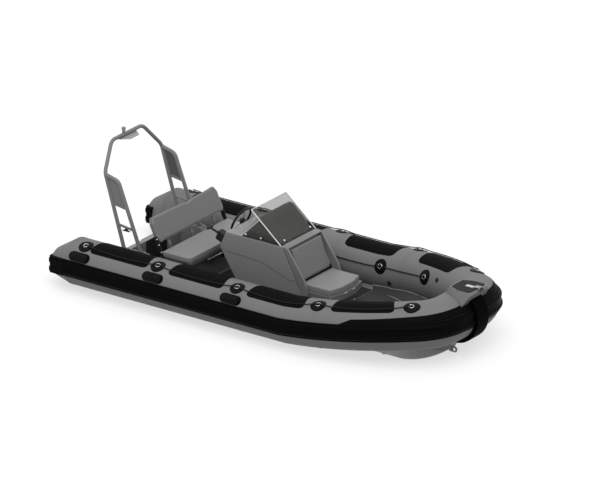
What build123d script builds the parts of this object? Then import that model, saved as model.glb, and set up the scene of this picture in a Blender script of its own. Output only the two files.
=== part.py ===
from build123d import *
import os
from math import atan2, cos, degrees, radians, sin, tan

# Rigid inflatable boat. Millimetres, +X to the bow, +Y to port, +Z up.
# The origin is on the waterline, on the centre plane, half way along the tubes.

# ---------------------------------------------------------------- driving sizes
TUBE_R = 270.0            # air tube radius
TUBE_Y = 905.0            # tube axis from the centre plane, along the straight run
AXIS_Z = 300.0            # tube axis above the waterline, aft
CONE_X = -2310.0          # where the stern cones begin
CONE_L = 285.0            # length of a stern cone
CONE_TIP_R = 150.0        # radius of a cone's blunt end
CONE_DROP = 60.0          # how far the blunt end lies below the axis
CONE_ROUND = 75.0         # rounding of the blunt end
SHEER_X = 581.0           # where the tubes start to rise
SHEER_R = 1000.0          # radius of that bend
SHEER = 5.9               # rise of the bow, degrees
BOW_ARCS = ((2700.0, 31.0), (340.0, 85.0))   # radius, heading at the arc's end

SKIN_GAP = 0.3            # clearance between a skin and what it lies on
PATCH_T = 4.0             # rubber patch
STRAKE_T = 11.0           # rubbing strake between its ridges
STRAKE_LOW, STRAKE_HIGH = -20.0, 22.0        # strake's edges round the tube, degrees
RIDGE_AT = 11.0           # each ridge from the strake's middle, degrees
RIDGE_R = 27.0            # ridge's round
RIDGE_PROUD = 28.0        # ridge above the tube
JOINT_BACK = 333.0        # joint of side and bow strakes, back from the stem

KEEL_Z = -270.0           # keel at the transom
DECK_Z = 120.0            # top of the deck
TRANSOM_X = -1950.0       # after face of the transom
TRANSOM_T = 60.0
TRANSOM_TOP = 395.0
HULL_HALF = 720.0         # half width at the chine
CLEAR = 5.0               # least clearance of a moving piece

# ---------------------------------------------------------------- the tubes' axis
PORT = Plane.XZ
bottom_centre = (Align.CENTER, Align.CENTER, Align.MIN)


class Leg:
    """One straight or arc of a tube's axis; starboard side, running forward."""

    def __init__(self, start, point, ahead, out, up, length, radius=None, axis=None):
        self.start, self.length, self.radius = start, length, radius
        self.point, self.ahead, self.out, self.up = point, ahead, out, up
        self.axis = axis
        if radius is not None:
            toward = up if axis == "rise" else -out
            self.centre = point + toward * radius
            self.spin = out if axis == "rise" else up

    def frame(self, travel):
        """Point, ahead, out and up at a distance along the leg."""
        if self.radius is None:
            return self.point + self.ahead * travel, self.ahead, self.out, self.up
        turn = travel / self.radius
        if self.axis == "rise":
            ahead = self.ahead * cos(turn) + self.up * sin(turn)
            up = self.up * cos(turn) - self.ahead * sin(turn)
            return self.centre - up * self.radius, ahead, self.out, up
        ahead = self.ahead * cos(turn) - self.out * sin(turn)
        out = self.out * cos(turn) + self.ahead * sin(turn)
        return self.centre + out * self.radius, ahead, out, self.up


def tube_legs():
    legs = []
    state = [0.0, Vector(CONE_X, -TUBE_Y, AXIS_Z), Vector(1, 0, 0), Vector(0, -1, 0), Vector(0, 0, 1)]

    def add(length, radius=None, axis=None):
        leg = Leg(*state, length, radius, axis)
        legs.append(leg)
        state[:] = [state[0] + length, *leg.frame(length)]

    add(SHEER_X - CONE_X)
    add(SHEER_R * radians(SHEER), SHEER_R, "rise")
    heading = 0.0
    for radius, end in BOW_ARCS:
        add(radius * radians(end - heading), radius, "turn")
        heading = end
    closing = -state[1].Y / cos(radians(heading))
    add(closing * radians(90.0 - heading), closing, "turn")
    return legs


LEGS = tube_legs()
BOW_S = LEGS[-1].start + LEGS[-1].length     # station of the stem, on the centre plane


def station(s):
    """Point, ahead, out and up of the starboard axis at a station."""
    for leg in LEGS:
        if s <= leg.start + leg.length:
            break
    return leg.frame(s - leg.start)


def along(section, start, end):
    """A flat section (x outboard, y up) carried along the axis between two stations."""
    body = None
    for leg in LEGS:
        low, high = max(start, leg.start), min(end, leg.start + leg.length)
        if high - low < 0.5:
            continue
        point, ahead, out, up = leg.frame(low - leg.start)
        face = Plane(origin=point, x_dir=out, z_dir=-ahead) * section
        if leg.radius is None:
            piece = extrude(face, amount=high - low, dir=ahead)
        else:
            turn = degrees((high - low) / leg.radius)
            piece = revolve(face, axis=Axis(leg.centre, leg.spin), revolution_arc=turn)
        body = piece if body is None else body + piece
    return body


def ring_band(low_r, high_r, low_deg, high_deg):
    """Flat sector between two radii and two angles; 0 is outboard, 90 is up."""
    sweep = high_deg - low_deg
    inner = CenterArc((0, 0), low_r, low_deg, sweep)
    outer = CenterArc((0, 0), high_r, low_deg, sweep)
    ends = [Line(inner @ 0, outer @ 0), Line(inner @ 1, outer @ 1)]
    return make_face([inner, outer, *ends])


def on_tube(s, angle, rise=0.0):
    """Plane on the starboard tube, z along the outward normal and x ahead."""
    point, ahead, out, up = station(s)
    normal = out * cos(radians(angle)) + up * sin(radians(angle))
    return Plane(origin=point + normal * (TUBE_R + rise), x_dir=ahead, z_dir=normal)


def both(shape):
    """The starboard shape and its mirror image."""
    return [shape, mirror(shape, about=PORT)]


NODES = {}


def node(name, *shapes):
    solids = []
    for shape in shapes:
        solids += list(shape.solids()) if hasattr(shape, "solids") else [shape]
    NODES[name] = solids[0] if len(solids) == 1 else Compound(children=solids)


# ---------------------------------------------------------------- tubes
def cone(grow=0.0):
    """Stern cone of the starboard tube, swollen by a thickness."""
    wide = Plane(origin=(CONE_X, -TUBE_Y, AXIS_Z), z_dir=(-1, 0, 0)) * Circle(TUBE_R + grow)
    tip = Plane(origin=(CONE_X - CONE_L - grow, -TUBE_Y, AXIS_Z - CONE_DROP), z_dir=(-1, 0, 0))
    body = loft([wide, tip * Circle(CONE_TIP_R + grow)], ruled=True)
    rim = body.edges().sort_by(Axis.X)[0]
    return fillet(rim, CONE_ROUND + grow)


CHAMBER_S = LEGS[3].start           # joint between a side chamber and the bow chamber
tube_section = Circle(TUBE_R)
side_tube = along(tube_section, 0.0, CHAMBER_S) + cone()
node("tube_starboard", side_tube)
node("tube_port", mirror(side_tube, about=PORT))
bow_half = along(tube_section, CHAMBER_S, BOW_S)
node("tube_bow", bow_half + mirror(bow_half, about=PORT))

# ---------------------------------------------------------------- rubbing strakes
skin = TUBE_R + SKIN_GAP
middle = (STRAKE_LOW + STRAKE_HIGH) / 2
ridge_r = TUBE_R + RIDGE_PROUD - RIDGE_R
strake_section = ring_band(skin, TUBE_R + STRAKE_T, STRAKE_LOW, STRAKE_HIGH)
for side in (-1, 1):
    angle = radians(middle + side * RIDGE_AT)
    strake_section += Pos(ridge_r * cos(angle), ridge_r * sin(angle)) * Circle(RIDGE_R)
strake_section -= Circle(skin)

STRAKE_IN = 130.0                   # how far the wrap runs forward on the inner side
WRAP_PROUD, WRAP_RIDGE = 19.0, 20.0  # ridges round the cone: height, half width
low_z = TUBE_R * sin(radians(STRAKE_LOW))
high_z = TUBE_R * sin(radians(STRAKE_HIGH))
wrap_slope = CONE_DROP / CONE_L
wrap_end = CONE_X - CONE_L + STRAKE_IN
wrap_end_r = CONE_TIP_R + (TUBE_R - CONE_TIP_R) * STRAKE_IN / CONE_L


def wrap_band(grow, low, high):
    """Band round the stern cone's plan outline, between two heights that fall with the cone."""
    tip = CONE_X - CONE_L - grow
    plan = FilletPolyline((CONE_X, -TUBE_R - grow), (tip, -CONE_TIP_R - grow), (tip, CONE_TIP_R + grow),
                          (wrap_end, wrap_end_r + grow), radius=CONE_ROUND + grow)
    close = Polyline(plan @ 1, (wrap_end, 0.0), (CONE_X, 0.0), plan @ 0)
    column = Pos(0, -TUBE_Y, 0) * extrude(make_face([plan, close]), amount=900.0)
    reach = CONE_L + 120.0
    drop = wrap_slope * reach
    side = [(CONE_X, AXIS_Z + low), (CONE_X - reach, AXIS_Z + low - drop),
            (CONE_X - reach, AXIS_Z + high - drop), (CONE_X, AXIS_Z + high)]
    return column & (Pos(0, -TUBE_Y + 500.0, 0) * extrude(Plane.XZ * make_face(Polyline(*side, close=True)),
                                                          amount=1000.0))


wrap = wrap_band(STRAKE_T, low_z, high_z)
for side in (-1, 1):
    height = (low_z + high_z) / 2 + side * TUBE_R * sin(radians(RIDGE_AT))
    wrap += wrap_band(WRAP_PROUD, height - WRAP_RIDGE, height + WRAP_RIDGE)
wrap -= cone(SKIN_GAP)
wrap = max(wrap.solids(), key=lambda solid: solid.volume)
strake_joint = BOW_S - JOINT_BACK
side_strake = along(strake_section, 0.0, strake_joint)
bow_strake = along(strake_section, strake_joint + 1.0, BOW_S)
node("strake_starboard", side_strake)
node("strake_port", mirror(side_strake, about=PORT))
node("strake_wraps", *both(wrap))
node("strake_bow", bow_strake + mirror(bow_strake, about=PORT))

# wide wear patch over the strake's upper edge, round the bow
WEAR_BACK, WEAR_HIGH = 1273.0, 42.0
wear = along(ring_band(skin, TUBE_R + PATCH_T, STRAKE_HIGH + 0.2, WEAR_HIGH), BOW_S - WEAR_BACK, BOW_S)
node("bow_wear_patch", wear + mirror(wear, about=PORT))

# bow strap
STRAP_W, STRAP_T = 190.0, 22.0
STRAP_LOW, STRAP_HIGH = -90.0, 55.0
strap_in = TUBE_R + RIDGE_PROUD + SKIN_GAP
strap_section = ring_band(strap_in, strap_in + STRAP_T, STRAKE_LOW - 2.0, STRAP_HIGH)
strap_section += ring_band(skin, strap_in + STRAP_T, STRAP_LOW, STRAKE_LOW - 2.0)
strap = along(strap_section, BOW_S - STRAP_W / 2, BOW_S)
node("bow_strap", strap + mirror(strap, about=PORT))

# ---------------------------------------------------------------- patches and fittings on the tubes
TOP_PATCHES = ((320.0, 1030.0), (1400.0, 2060.0), (2465.0, 3165.0), (3565.0, 4180.0))   # stations
TOP_LOW, TOP_HIGH = 52.0, 125.0
patches = [along(ring_band(skin, TUBE_R + PATCH_T, TOP_LOW, TOP_HIGH), a, b) for a, b in TOP_PATCHES]
node("top_patches", *[half for patch in patches for half in both(patch)])

ROUNDEL_R, ROUNDEL_T = 76.0, 8.0
OUTER_AT = 68.0
OUTER_ROUNDELS = (195.0, 1190.0, 2275.0, 3365.0, 4400.0)     # stations
INNER_AT = 154.0
INNER_ROUNDELS = (2230.0, 3045.0, 3800.0)
roundels, rings = [], []
RING_R, RING_WIRE = 26.0, 4.0
for s, angle in [(s, OUTER_AT) for s in OUTER_ROUNDELS] + [(s, INNER_AT) for s in INNER_ROUNDELS]:
    band = along(ring_band(skin, TUBE_R + ROUNDEL_T, angle - 20, angle + 20), s - 100, s + 100)
    disc = on_tube(s, angle, -60.0) * Cylinder(ROUNDEL_R, 120.0, align=bottom_centre)
    roundels += both(band & disc)
    seat = on_tube(s, angle, ROUNDEL_T + RING_WIRE + SKIN_GAP)
    rings += both(seat * Torus(RING_R, RING_WIRE))
node("roundels", *roundels)
node("d_rings", *rings)

HANDLE_L, HANDLE_W, HANDLE_T = 240.0, 105.0, 24.0
HANDLE_AT = 35.0
HANDLES = (187.0, 1200.0, 2265.0)
handles = []
for s in HANDLES:
    band = along(ring_band(skin, TUBE_R + HANDLE_T, HANDLE_AT - 16, HANDLE_AT + 16), s - 160, s + 160)
    pill = extrude(on_tube(s, HANDLE_AT, -60.0) * SlotOverall(HANDLE_L, HANDLE_W), amount=120.0)
    handles += both(band & pill)
node("tube_handles", *handles)

ROPE_R = 6.0
rope_rise = ROUNDEL_T + 2 * RING_WIRE + ROPE_R + 2 * SKIN_GAP


def rope(stations, angle):
    centre = TUBE_R + rope_rise
    spot = Pos(centre * cos(radians(angle)), centre * sin(radians(angle))) * Circle(ROPE_R)
    return along(spot, stations[0], stations[-1])


node("grab_lines_outer", *both(rope(OUTER_ROUNDELS, OUTER_AT)))
node("grab_lines_inner", *both(rope(INNER_ROUNDELS, INNER_AT)))

VALVES = ((3180.0, 192.0), (4050.0, 150.0), (1500.0, 150.0))
VALVE_R, VALVE_T = 27.0, 12.0
valves = []
for s, angle in VALVES:
    valves += both(on_tube(s, angle, SKIN_GAP) * Cylinder(VALVE_R, VALVE_T, align=bottom_centre))
node("valves", *valves)

# ---------------------------------------------------------------- hull and deck
# columns: x, half width at the chine, chine height, half width behind the tubes
HULL = (
    (TRANSOM_X, HULL_HALF, 40.0, HULL_HALF),
    (0.0, HULL_HALF, 50.0, HULL_HALF),
    (900.0, 665.0, 80.0, 720.0),
    (1500.0, 480.0, 120.0, 620.0),
    (1950.0, 255.0, 160.0, 480.0),
    (2330.0, 12.0, 220.0, 30.0),
)
CHINE_FLAT = 55.0
SIDE_TOP = 280.0                    # the hull's sides run up behind the tubes
STEM_LOW = (2140.0, 20.0)           # x and z where the forefoot meets the raked stem
STEM_HIGH = (2300.0, 330.0)
FOREFOOT = (1480.0, 1815.0, -158.0)      # x of its start, then its middle point's x and z


def hull_section(x, chine, chine_z, top):
    flat = min(CHINE_FLAT, chine * 0.3)
    points = [(0, KEEL_Z), (chine - flat, chine_z - 4), (chine, chine_z), (top, SIDE_TOP)]
    outline = points + [(-y, z) for y, z in reversed(points[1:])]
    face = make_face(Polyline(*outline, close=True))
    return Plane(origin=(x, 0, 0), x_dir=(0, 1, 0), z_dir=(1, 0, 0)) * face


def slab(points, half, middle=0.0):
    """A side profile of x and z points made as wide as 2 x half about y = middle."""
    face = Plane.XZ * make_face(Polyline(*points, close=True))
    return Pos(0, middle + half, 0) * extrude(face, amount=2 * half)


def block(x0, x1, y0, y1, z0, z1):
    return Pos((x0 + x1) / 2, (y0 + y1) / 2, (z0 + z1) / 2) * Box(x1 - x0, y1 - y0, z1 - z0)


shape = loft([hull_section(*row) for row in HULL], ruled=True)
keel_run = Line((TRANSOM_X - 10, KEEL_Z), (FOREFOOT[0], KEEL_Z))
forefoot = ThreePointArc((FOREFOOT[0], KEEL_Z), FOREFOOT[1:], STEM_LOW)
stem = Line(STEM_LOW, STEM_HIGH)
back = Polyline(STEM_HIGH, (STEM_HIGH[0], 700.0), (TRANSOM_X - 10, 700.0), (TRANSOM_X - 10, KEEL_Z))
profile = Plane.XZ * make_face([keel_run, forefoot, stem, *back.edges()])
shape = shape & (Pos(0, 1000, 0) * extrude(profile, amount=2000.0))
tube_space = both(along(Circle(TUBE_R + SKIN_GAP), 0.0, BOW_S))
transom_in = TRANSOM_X + TRANSOM_T
hull = shape - block(TRANSOM_X - 20, transom_in, -1000, 1000, -500, 900)
WALL = 30.0                         # flared plating above the deck, each side


def cockpit_section(x, chine, chine_z, top):
    """Room above the deck between the sides, which flare out from the chine."""
    at_deck = max(chine - WALL, 4.0)
    points = [(at_deck, DECK_Z), (max(top - WALL, 6.0), SIDE_TOP), (max(top - WALL, 6.0), 900.0)]
    face = make_face(Polyline(*points, *[(-y, z) for y, z in reversed(points)], close=True))
    return Plane(origin=(x, 0, 0), x_dir=(0, 1, 0), z_dir=(1, 0, 0)) * face


hull -= loft([cockpit_section(*row) for row in HULL[:-1]] + [cockpit_section(2180.0, 110.0, 0.0, 190.0)], ruled=True)
transom = shape & block(TRANSOM_X, transom_in, -1000, 1000, -500, 200)
transom += block(TRANSOM_X, transom_in, -HULL_HALF, HULL_HALF, 150.0, TRANSOM_TOP)
for half in tube_space:
    hull -= half
    transom -= half
node("hull", max(hull.solids(), key=lambda solid: solid.volume))

# two pads spread the motor's clamp load; the bolt holes are the standard pattern
MOTOR_HALF, MOTOR_LOW, PAD_T = 190.0, 60.0, 10.0
BOLT_R, UPPER_GAUGE, LOWER_GAUGE = 6.5, 327.0, 251.0
BOLT_DOWN, BOLT_PITCH = 48.0, 203.0
upper_z = TRANSOM_TOP - BOLT_DOWN
lower_z = upper_z - BOLT_PITCH
pad_out = block(TRANSOM_X - PAD_T, TRANSOM_X, -MOTOR_HALF, MOTOR_HALF, MOTOR_LOW, TRANSOM_TOP)
pad_in = block(transom_in, transom_in + PAD_T, -MOTOR_HALF, MOTOR_HALF, DECK_Z + 5, TRANSOM_TOP)
for gauge, z in ((UPPER_GAUGE, upper_z), (LOWER_GAUGE, lower_z)):
    for side in (-1, 1):
        bolt = Pos(TRANSOM_X, side * gauge / 2, z) * Rot(0, 90, 0) * Cylinder(BOLT_R, 400.0)
        transom -= bolt
        pad_out -= bolt
        pad_in -= bolt
node("transom", transom)
node("motor_pads", pad_out, pad_in)

KNEE_Y, KNEE_T, KNEE_L = 529.0, 110.0, 300.0
knees = []
for side in (-1, 1):
    outline = [(transom_in, DECK_Z), (transom_in, TRANSOM_TOP), (transom_in + KNEE_L - 40, TRANSOM_TOP),
               (transom_in + KNEE_L, TRANSOM_TOP - 40), (transom_in + KNEE_L, DECK_Z)]
    knees.append(slab(outline, KNEE_T / 2, side * KNEE_Y))
node("transom_knees", *knees)

MAT_T = 4.0
# the two side mats' columns: x aft, x forward, y low, y high
SIDE_MATS = ((-1560.0, -1370.0, 40.0, 640.0), (-1000.0, 300.0, 380.0, 640.0))
BOW_MAT = ((800.0, 600.0), (950.0, 585.0), (1500.0, 415.0), (1900.0, 205.0))     # x and half width
mats = []
for x0, x1, low, high in SIDE_MATS:
    mats += both(block(x0, x1, -high, -low, DECK_Z, DECK_Z + MAT_T))
bow_plan = Polyline(*[(x, -y) for x, y in BOW_MAT], *reversed(BOW_MAT), close=True)
mats.append(Pos(0, 0, DECK_Z) * extrude(make_face(bow_plan), amount=MAT_T))
node("deck_mats", *mats)

# ---------------------------------------------------------------- eyes and the bow
EYE_R, EYE_WIRE = 32.0, 7.0
BOW_EYE_R, BOW_EYE_T = 18.0, 12.0
BOW_EYE_X, BOW_EYE_Z = 2172.0, 12.0
plate_eye = slab([(BOW_EYE_X - 60, BOW_EYE_Z + 34), (BOW_EYE_X - 60, BOW_EYE_Z - 30),
                  (BOW_EYE_X + 40, BOW_EYE_Z - 34), (BOW_EYE_X + 40, BOW_EYE_Z + 34)], BOW_EYE_T / 2)
plate_eye = fillet(plate_eye.edges().filter_by(Axis.Y).sort_by(Axis.X)[-2:], 25.0)
plate_eye -= Pos(BOW_EYE_X + 5, 0, BOW_EYE_Z) * Rot(90, 0, 0) * Cylinder(BOW_EYE_R, 60.0)
plate_eye -= hull
node("bow_eye", max(plate_eye.solids(), key=lambda solid: solid.volume))
STERN_EYE_Y, STERN_EYE_Z = 420.0, 200.0
eyes = []
for side in (-1, 1):
    ring = Pos(TRANSOM_X - EYE_R, side * STERN_EYE_Y, STERN_EYE_Z) * Rot(90, 0, 0) * Torus(EYE_R, EYE_WIRE)
    base = block(TRANSOM_X - 8, TRANSOM_X, side * STERN_EYE_Y - 30, side * STERN_EYE_Y + 30,
                 STERN_EYE_Z - 45, STERN_EYE_Z + 45)
    eyes.append((ring & block(TRANSOM_X - 200, TRANSOM_X, -900, 900, 0, 400)) + base)
node("stern_eyes", *eyes)

STEP_Z, STEP_X0, STEP_X1 = 805.0, 2190.0, 2500.0     # top of the bow step, its ends
STEP_HALF0, STEP_HALF1 = 115.0, 176.0
STEP_FALL, STEP_TAPER = 150.0, 24.0  # depth of its skirt, and the skirt's slope
STEP_LIP, STEP_RAKE = 30.0, 70.0     # its fore edge: an upright lip, then a rake aft


def step_plan(inset):
    """The step's coffin-shaped plan, drawn in by an inset."""
    x0, x1, aft, fore = STEP_X0 + inset, STEP_X1 - inset, STEP_HALF0 - inset / 2, STEP_HALF1 - inset
    half = [(x0, aft), (x0 + 110, aft + 50), (x1 - 20, fore), (x1, fore - 30)]
    return make_face(Polyline(*[(x, -y) for x, y in half], *reversed(half), close=True))


step_top = Plane(origin=(0, 0, STEP_Z), x_dir=(1, 0, 0), z_dir=(0, 0, -1))
step = extrude(step_top * step_plan(0.0), amount=STEP_FALL, taper=-STEP_TAPER)
step &= slab([(STEP_X0 - 200, STEP_Z), (STEP_X1, STEP_Z), (STEP_X1, STEP_Z - STEP_LIP),
              (STEP_X1 - STEP_RAKE, STEP_Z - STEP_FALL), (STEP_X0 - 200, STEP_Z - STEP_FALL)], 500.0)
for half in both(along(Circle(TUBE_R + PATCH_T + SKIN_GAP), CHAMBER_S, BOW_S)):
    step -= half
strap_space = ring_band(TUBE_R, strap_in + STRAP_T + SKIN_GAP, STRAP_LOW, STRAP_HIGH + 1.0)
for half in both(along(strap_space, BOW_S - STRAP_W / 2 - 2.0, BOW_S)):
    step -= half
step = max(step.solids(), key=lambda solid: solid.volume)
node("bow_step", step)
STEP_MAT_T, STEP_RIM = 4.0, 16.0
node("bow_step_mat", Pos(0, 0, STEP_Z) * extrude(step_plan(STEP_RIM), amount=STEP_MAT_T))

# roller at the step's fore edge, on a pin between two cheeks, with a chain guide behind it
ROLLER_R, ROLLER_HALF, CHEEK_T = 20.0, 26.0, 5.0
GUIDE_L, GUIDE_T = 170.0, 6.0
roller_x, roller_z = STEP_X1 + ROLLER_R + 4.0, STEP_Z + 2.0
cheek_in = ROLLER_HALF + SKIN_GAP
guide_low = STEP_Z + STEP_MAT_T
cheeks = block(STEP_X1 - GUIDE_L, STEP_X1, -cheek_in, cheek_in, guide_low, guide_low + GUIDE_T)
for side in (-1, 1):
    outline = [(STEP_X1 - 60, guide_low), (STEP_X1 - 60, guide_low + 20), (STEP_X1 + 20, guide_low + 24),
               (roller_x + 14, roller_z + 6), (roller_x + 8, roller_z - 14), (STEP_X1, roller_z - 12),
               (STEP_X1, guide_low)]
    cheeks += slab(outline, CHEEK_T / 2, side * (cheek_in + CHEEK_T / 2))
PIN_R = 5.0
cheeks -= Pos(roller_x, 0, roller_z) * Rot(90, 0, 0) * Cylinder(PIN_R + 0.05, 200.0)
node("roller_cheeks", cheeks)
roller = Cylinder(ROLLER_R, 2 * ROLLER_HALF) + Cylinder(PIN_R, 2 * (cheek_in + CHEEK_T))
node("bow_roller", Pos(roller_x, 0, roller_z) * Rot(90, 0, 0) * roller)

# ---------------------------------------------------------------- console
CON_HALF = 335.0
CON_WALL = 6.0
CON_TOP = 842.0
DASH_TOP = (-678.0, CON_TOP)
DASH_LOW = (-761.0, 652.0)
CON_FRONT_TOP_X = 95.0
FRONT_SLOPE = 0.524                 # the front face's run for each unit of fall
aft_slope = 219.0 / 344.0


def front_x(z):
    """x of the console's front face at a height."""
    return CON_FRONT_TOP_X + (CON_TOP - z) * FRONT_SLOPE


con_low = DECK_Z
aft_foot_x = DASH_LOW[0] + (DASH_LOW[1] - con_low) * aft_slope
SEAT_BACK_Z = 372.0                 # the seat box starts here
con_outline = [DASH_TOP, DASH_LOW, (aft_foot_x, con_low), (front_x(SEAT_BACK_Z), con_low),
               (front_x(SEAT_BACK_Z), SEAT_BACK_Z), (CON_FRONT_TOP_X, CON_TOP)]
outer = slab(con_outline, CON_HALF)
inner_face = offset(make_face(Polyline(*con_outline, close=True)), -CON_WALL, kind=Kind.INTERSECTION)
inner = Pos(0, CON_HALF - CON_WALL, 0) * extrude(Plane.XZ * inner_face, amount=2 * (CON_HALF - CON_WALL))
console = outer - inner - block(aft_foot_x + 12, front_x(SEAT_BACK_Z) - CON_WALL,
                                -CON_HALF + CON_WALL, CON_HALF - CON_WALL, con_low - 10, con_low + 20)
node("console", console)

# back cushion on the console's front face
BACK_T, BACK_HALF = 55.0, 280.0
lean = atan2(FRONT_SLOPE, 1.0)
back_low, back_high = 480.0, CON_TOP - 12.0
ahead_x, ahead_z = cos(lean), sin(lean)
quad = [(front_x(z) + SKIN_GAP + d * ahead_x, z + d * ahead_z)
        for z, d in ((back_low, 0), (back_low, BACK_T), (back_high, BACK_T), (back_high, 0))]
back_cushion = slab(quad, BACK_HALF)
node("console_back_cushion", fillet(back_cushion.edges().filter_by(Axis.Y).group_by(Axis.X)[-1], 15.0))

# windscreen: a raked front pane with a quarter pane each side
GLASS_T = 6.0
SCREEN_FOOT = (72.0, CON_TOP)
SCREEN_TOP = (-330.0, 1182.0)
SCREEN_HALF = 330.0
QUARTER_AFT = (-472.0, CON_TOP)
QUARTER_UP = 0.72                   # how far up the corner the quarter pane reaches
run, rise = SCREEN_TOP[0] - SCREEN_FOOT[0], SCREEN_TOP[1] - SCREEN_FOOT[1]
across = GLASS_T / (rise / (run ** 2 + rise ** 2) ** 0.5)
pane = slab([SCREEN_FOOT, (SCREEN_FOOT[0] - across, SCREEN_FOOT[1]),
             (SCREEN_TOP[0] - across, SCREEN_TOP[1]), SCREEN_TOP], SCREEN_HALF)
quarter = [QUARTER_AFT, (SCREEN_FOOT[0] - across, CON_TOP),
           (SCREEN_FOOT[0] - across + run * QUARTER_UP, CON_TOP + rise * QUARTER_UP)]
screen = pane
for side in (-1, 1):
    screen += slab(quarter, GLASS_T / 2, side * (SCREEN_HALF - GLASS_T / 2))
node("windscreen", screen)

# steering: a boss on the dash and a three-spoke wheel
WHEEL_Y, WHEEL_R, RIM_R = 80.0, 158.0, 13.0
WHEEL_OFF = 78.0
dash_dx, dash_dz = DASH_TOP[0] - DASH_LOW[0], DASH_TOP[1] - DASH_LOW[1]
dash_len = (dash_dx ** 2 + dash_dz ** 2) ** 0.5
dash_up = Vector(dash_dx / dash_len, 0, dash_dz / dash_len)
dash_out = Vector(-dash_up.Z, 0, dash_up.X)
helm_point = Vector(DASH_LOW[0], WHEEL_Y, DASH_LOW[1]) + dash_up * 0.745 * dash_len
helm = Plane(origin=helm_point, x_dir=(0, 1, 0), z_dir=dash_out)
HUB_R, HUB_T, BOSS_R, SHAFT_R = 38.0, 30.0, 48.0, 10.0
boss_l = WHEEL_OFF - HUB_T - CLEAR
boss = helm * Cylinder(BOSS_R, 12.0, align=bottom_centre)
boss += helm * Cylinder(26.0, boss_l, align=bottom_centre)
boss += helm * Cylinder(SHAFT_R, WHEEL_OFF - 6.0, align=bottom_centre)
node("steering_boss", boss)
wheel_at = helm * Pos(0, 0, WHEEL_OFF)
wheel = wheel_at * Torus(WHEEL_R, RIM_R)
wheel += wheel_at * Pos(0, 0, -HUB_T) * Cylinder(HUB_R, HUB_T, align=bottom_centre)
SPOKE_W, SPOKE_T = 30.0, 8.0
for turn in (0, 120, 240):
    spoke = Pos((WHEEL_R + HUB_R) / 2 - 6, 0, -8.0) * Box(WHEEL_R - HUB_R + 12, SPOKE_W, SPOKE_T)
    wheel += wheel_at * Rot(0, 0, turn - 90) * spoke
wheel -= helm * Cylinder(SHAFT_R + 0.05, WHEEL_OFF - 6.0 + 0.5, align=bottom_centre)
node("steering_wheel", wheel)

# throttle control on the starboard side of the dash
CTRL_Y, CTRL_HALF = -285.0, 40.0
CTRL_OUT, CTRL_HIGH, CTRL_LOW = 95.0, 7.0, 117.0     # proud of the dash, and its ends down the dash


def dash_point(down, out):
    """x and z of a point so far down the dash from the helm, and so far out of it."""
    spot = helm_point - dash_up * down + dash_out * out
    return spot.X, spot.Z


control = slab([dash_point(down, out) for down, out in
                ((CTRL_HIGH, 0), (CTRL_HIGH, CTRL_OUT), (CTRL_LOW, CTRL_OUT), (CTRL_LOW, 0))], CTRL_HALF, CTRL_Y)
control = fillet(control.edges().filter_by(Axis.Y).group_by(Axis.X)[0], 20.0)
node("throttle_box", control)
LEVER_DOWN, LEVER_W, LEVER_L, GRIP_R, GRIP_HALF = 45.0, 22.0, 130.0, 15.0, 42.0
lever_end = CTRL_OUT + LEVER_L
lever = slab([dash_point(LEVER_DOWN, CTRL_OUT), dash_point(LEVER_DOWN + LEVER_W, CTRL_OUT),
              dash_point(LEVER_DOWN + 1.6 * LEVER_W, lever_end), dash_point(LEVER_DOWN + 0.8 * LEVER_W, lever_end)],
             8.0, CTRL_Y)
grip_x, grip_z = dash_point(LEVER_DOWN + 1.2 * LEVER_W, lever_end)
lever += Pos(grip_x, CTRL_Y, grip_z) * Rot(90, 0, 0) * Cylinder(GRIP_R, 2 * GRIP_HALF)
node("throttle_lever", lever)

# ---------------------------------------------------------------- front seat
SEAT_Z = 450.0
SEAT_T = 74.0
SEAT_HALF = 292.0
SEAT_BOX_TOP = 366.0
SEAT_LID_T = 8.0
seat_aft = front_x(SEAT_BACK_Z)
SEAT_SIDE_X, SEAT_NOSE_X = 705.0, 752.0
box_plan = Polyline((seat_aft, -SEAT_HALF - 12), (SEAT_SIDE_X + 12, -SEAT_HALF - 12), (SEAT_NOSE_X + 12, -120),
                    (SEAT_NOSE_X + 12, 120), (SEAT_SIDE_X + 12, SEAT_HALF + 12), (seat_aft, SEAT_HALF + 12), close=True)
box_face = make_face(box_plan)
SEAT_WALL, SEAT_RIM, TOE = 6.0, 66.0, 110.0          # wall, height of the rim, the foot's set-back
rim_low = SEAT_BOX_TOP - SEAT_RIM
seat_box = Pos(0, 0, rim_low) * extrude(box_face, amount=SEAT_RIM)
seat_box += block(seat_aft, SEAT_SIDE_X + 12 - TOE, -SEAT_HALF - 12, SEAT_HALF + 12, DECK_Z, rim_low)
seat_box -= Pos(0, 0, rim_low + SEAT_WALL) * extrude(offset(box_face, -SEAT_WALL, kind=Kind.INTERSECTION), amount=400.0)
seat_box -= block(seat_aft + SEAT_WALL, SEAT_SIDE_X + 12 - TOE - SEAT_WALL, -SEAT_HALF - 12 + SEAT_WALL,
                  SEAT_HALF + 12 - SEAT_WALL, DECK_Z + SEAT_WALL, SEAT_BOX_TOP)
node("front_seat_box", seat_box)


def seat_plan(grow):
    return Polyline((seat_aft + 12, -SEAT_HALF - grow), (SEAT_SIDE_X + grow, -SEAT_HALF - grow),
                    (SEAT_NOSE_X + grow, -120), (SEAT_NOSE_X + grow, 120),
                    (SEAT_SIDE_X + grow, SEAT_HALF + grow), (seat_aft + 12, SEAT_HALF + grow), close=True)


lid_low = SEAT_BOX_TOP + SKIN_GAP
node("front_seat_lid", Pos(0, 0, lid_low) * extrude(make_face(seat_plan(12.0)), amount=SEAT_LID_T))
cushion = Pos(0, 0, lid_low + SEAT_LID_T + SKIN_GAP) * extrude(make_face(seat_plan(0.0)), amount=SEAT_T)
node("front_seat_cushion", fillet(cushion.edges().group_by(Axis.Z)[-1], 14.0))

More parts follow.
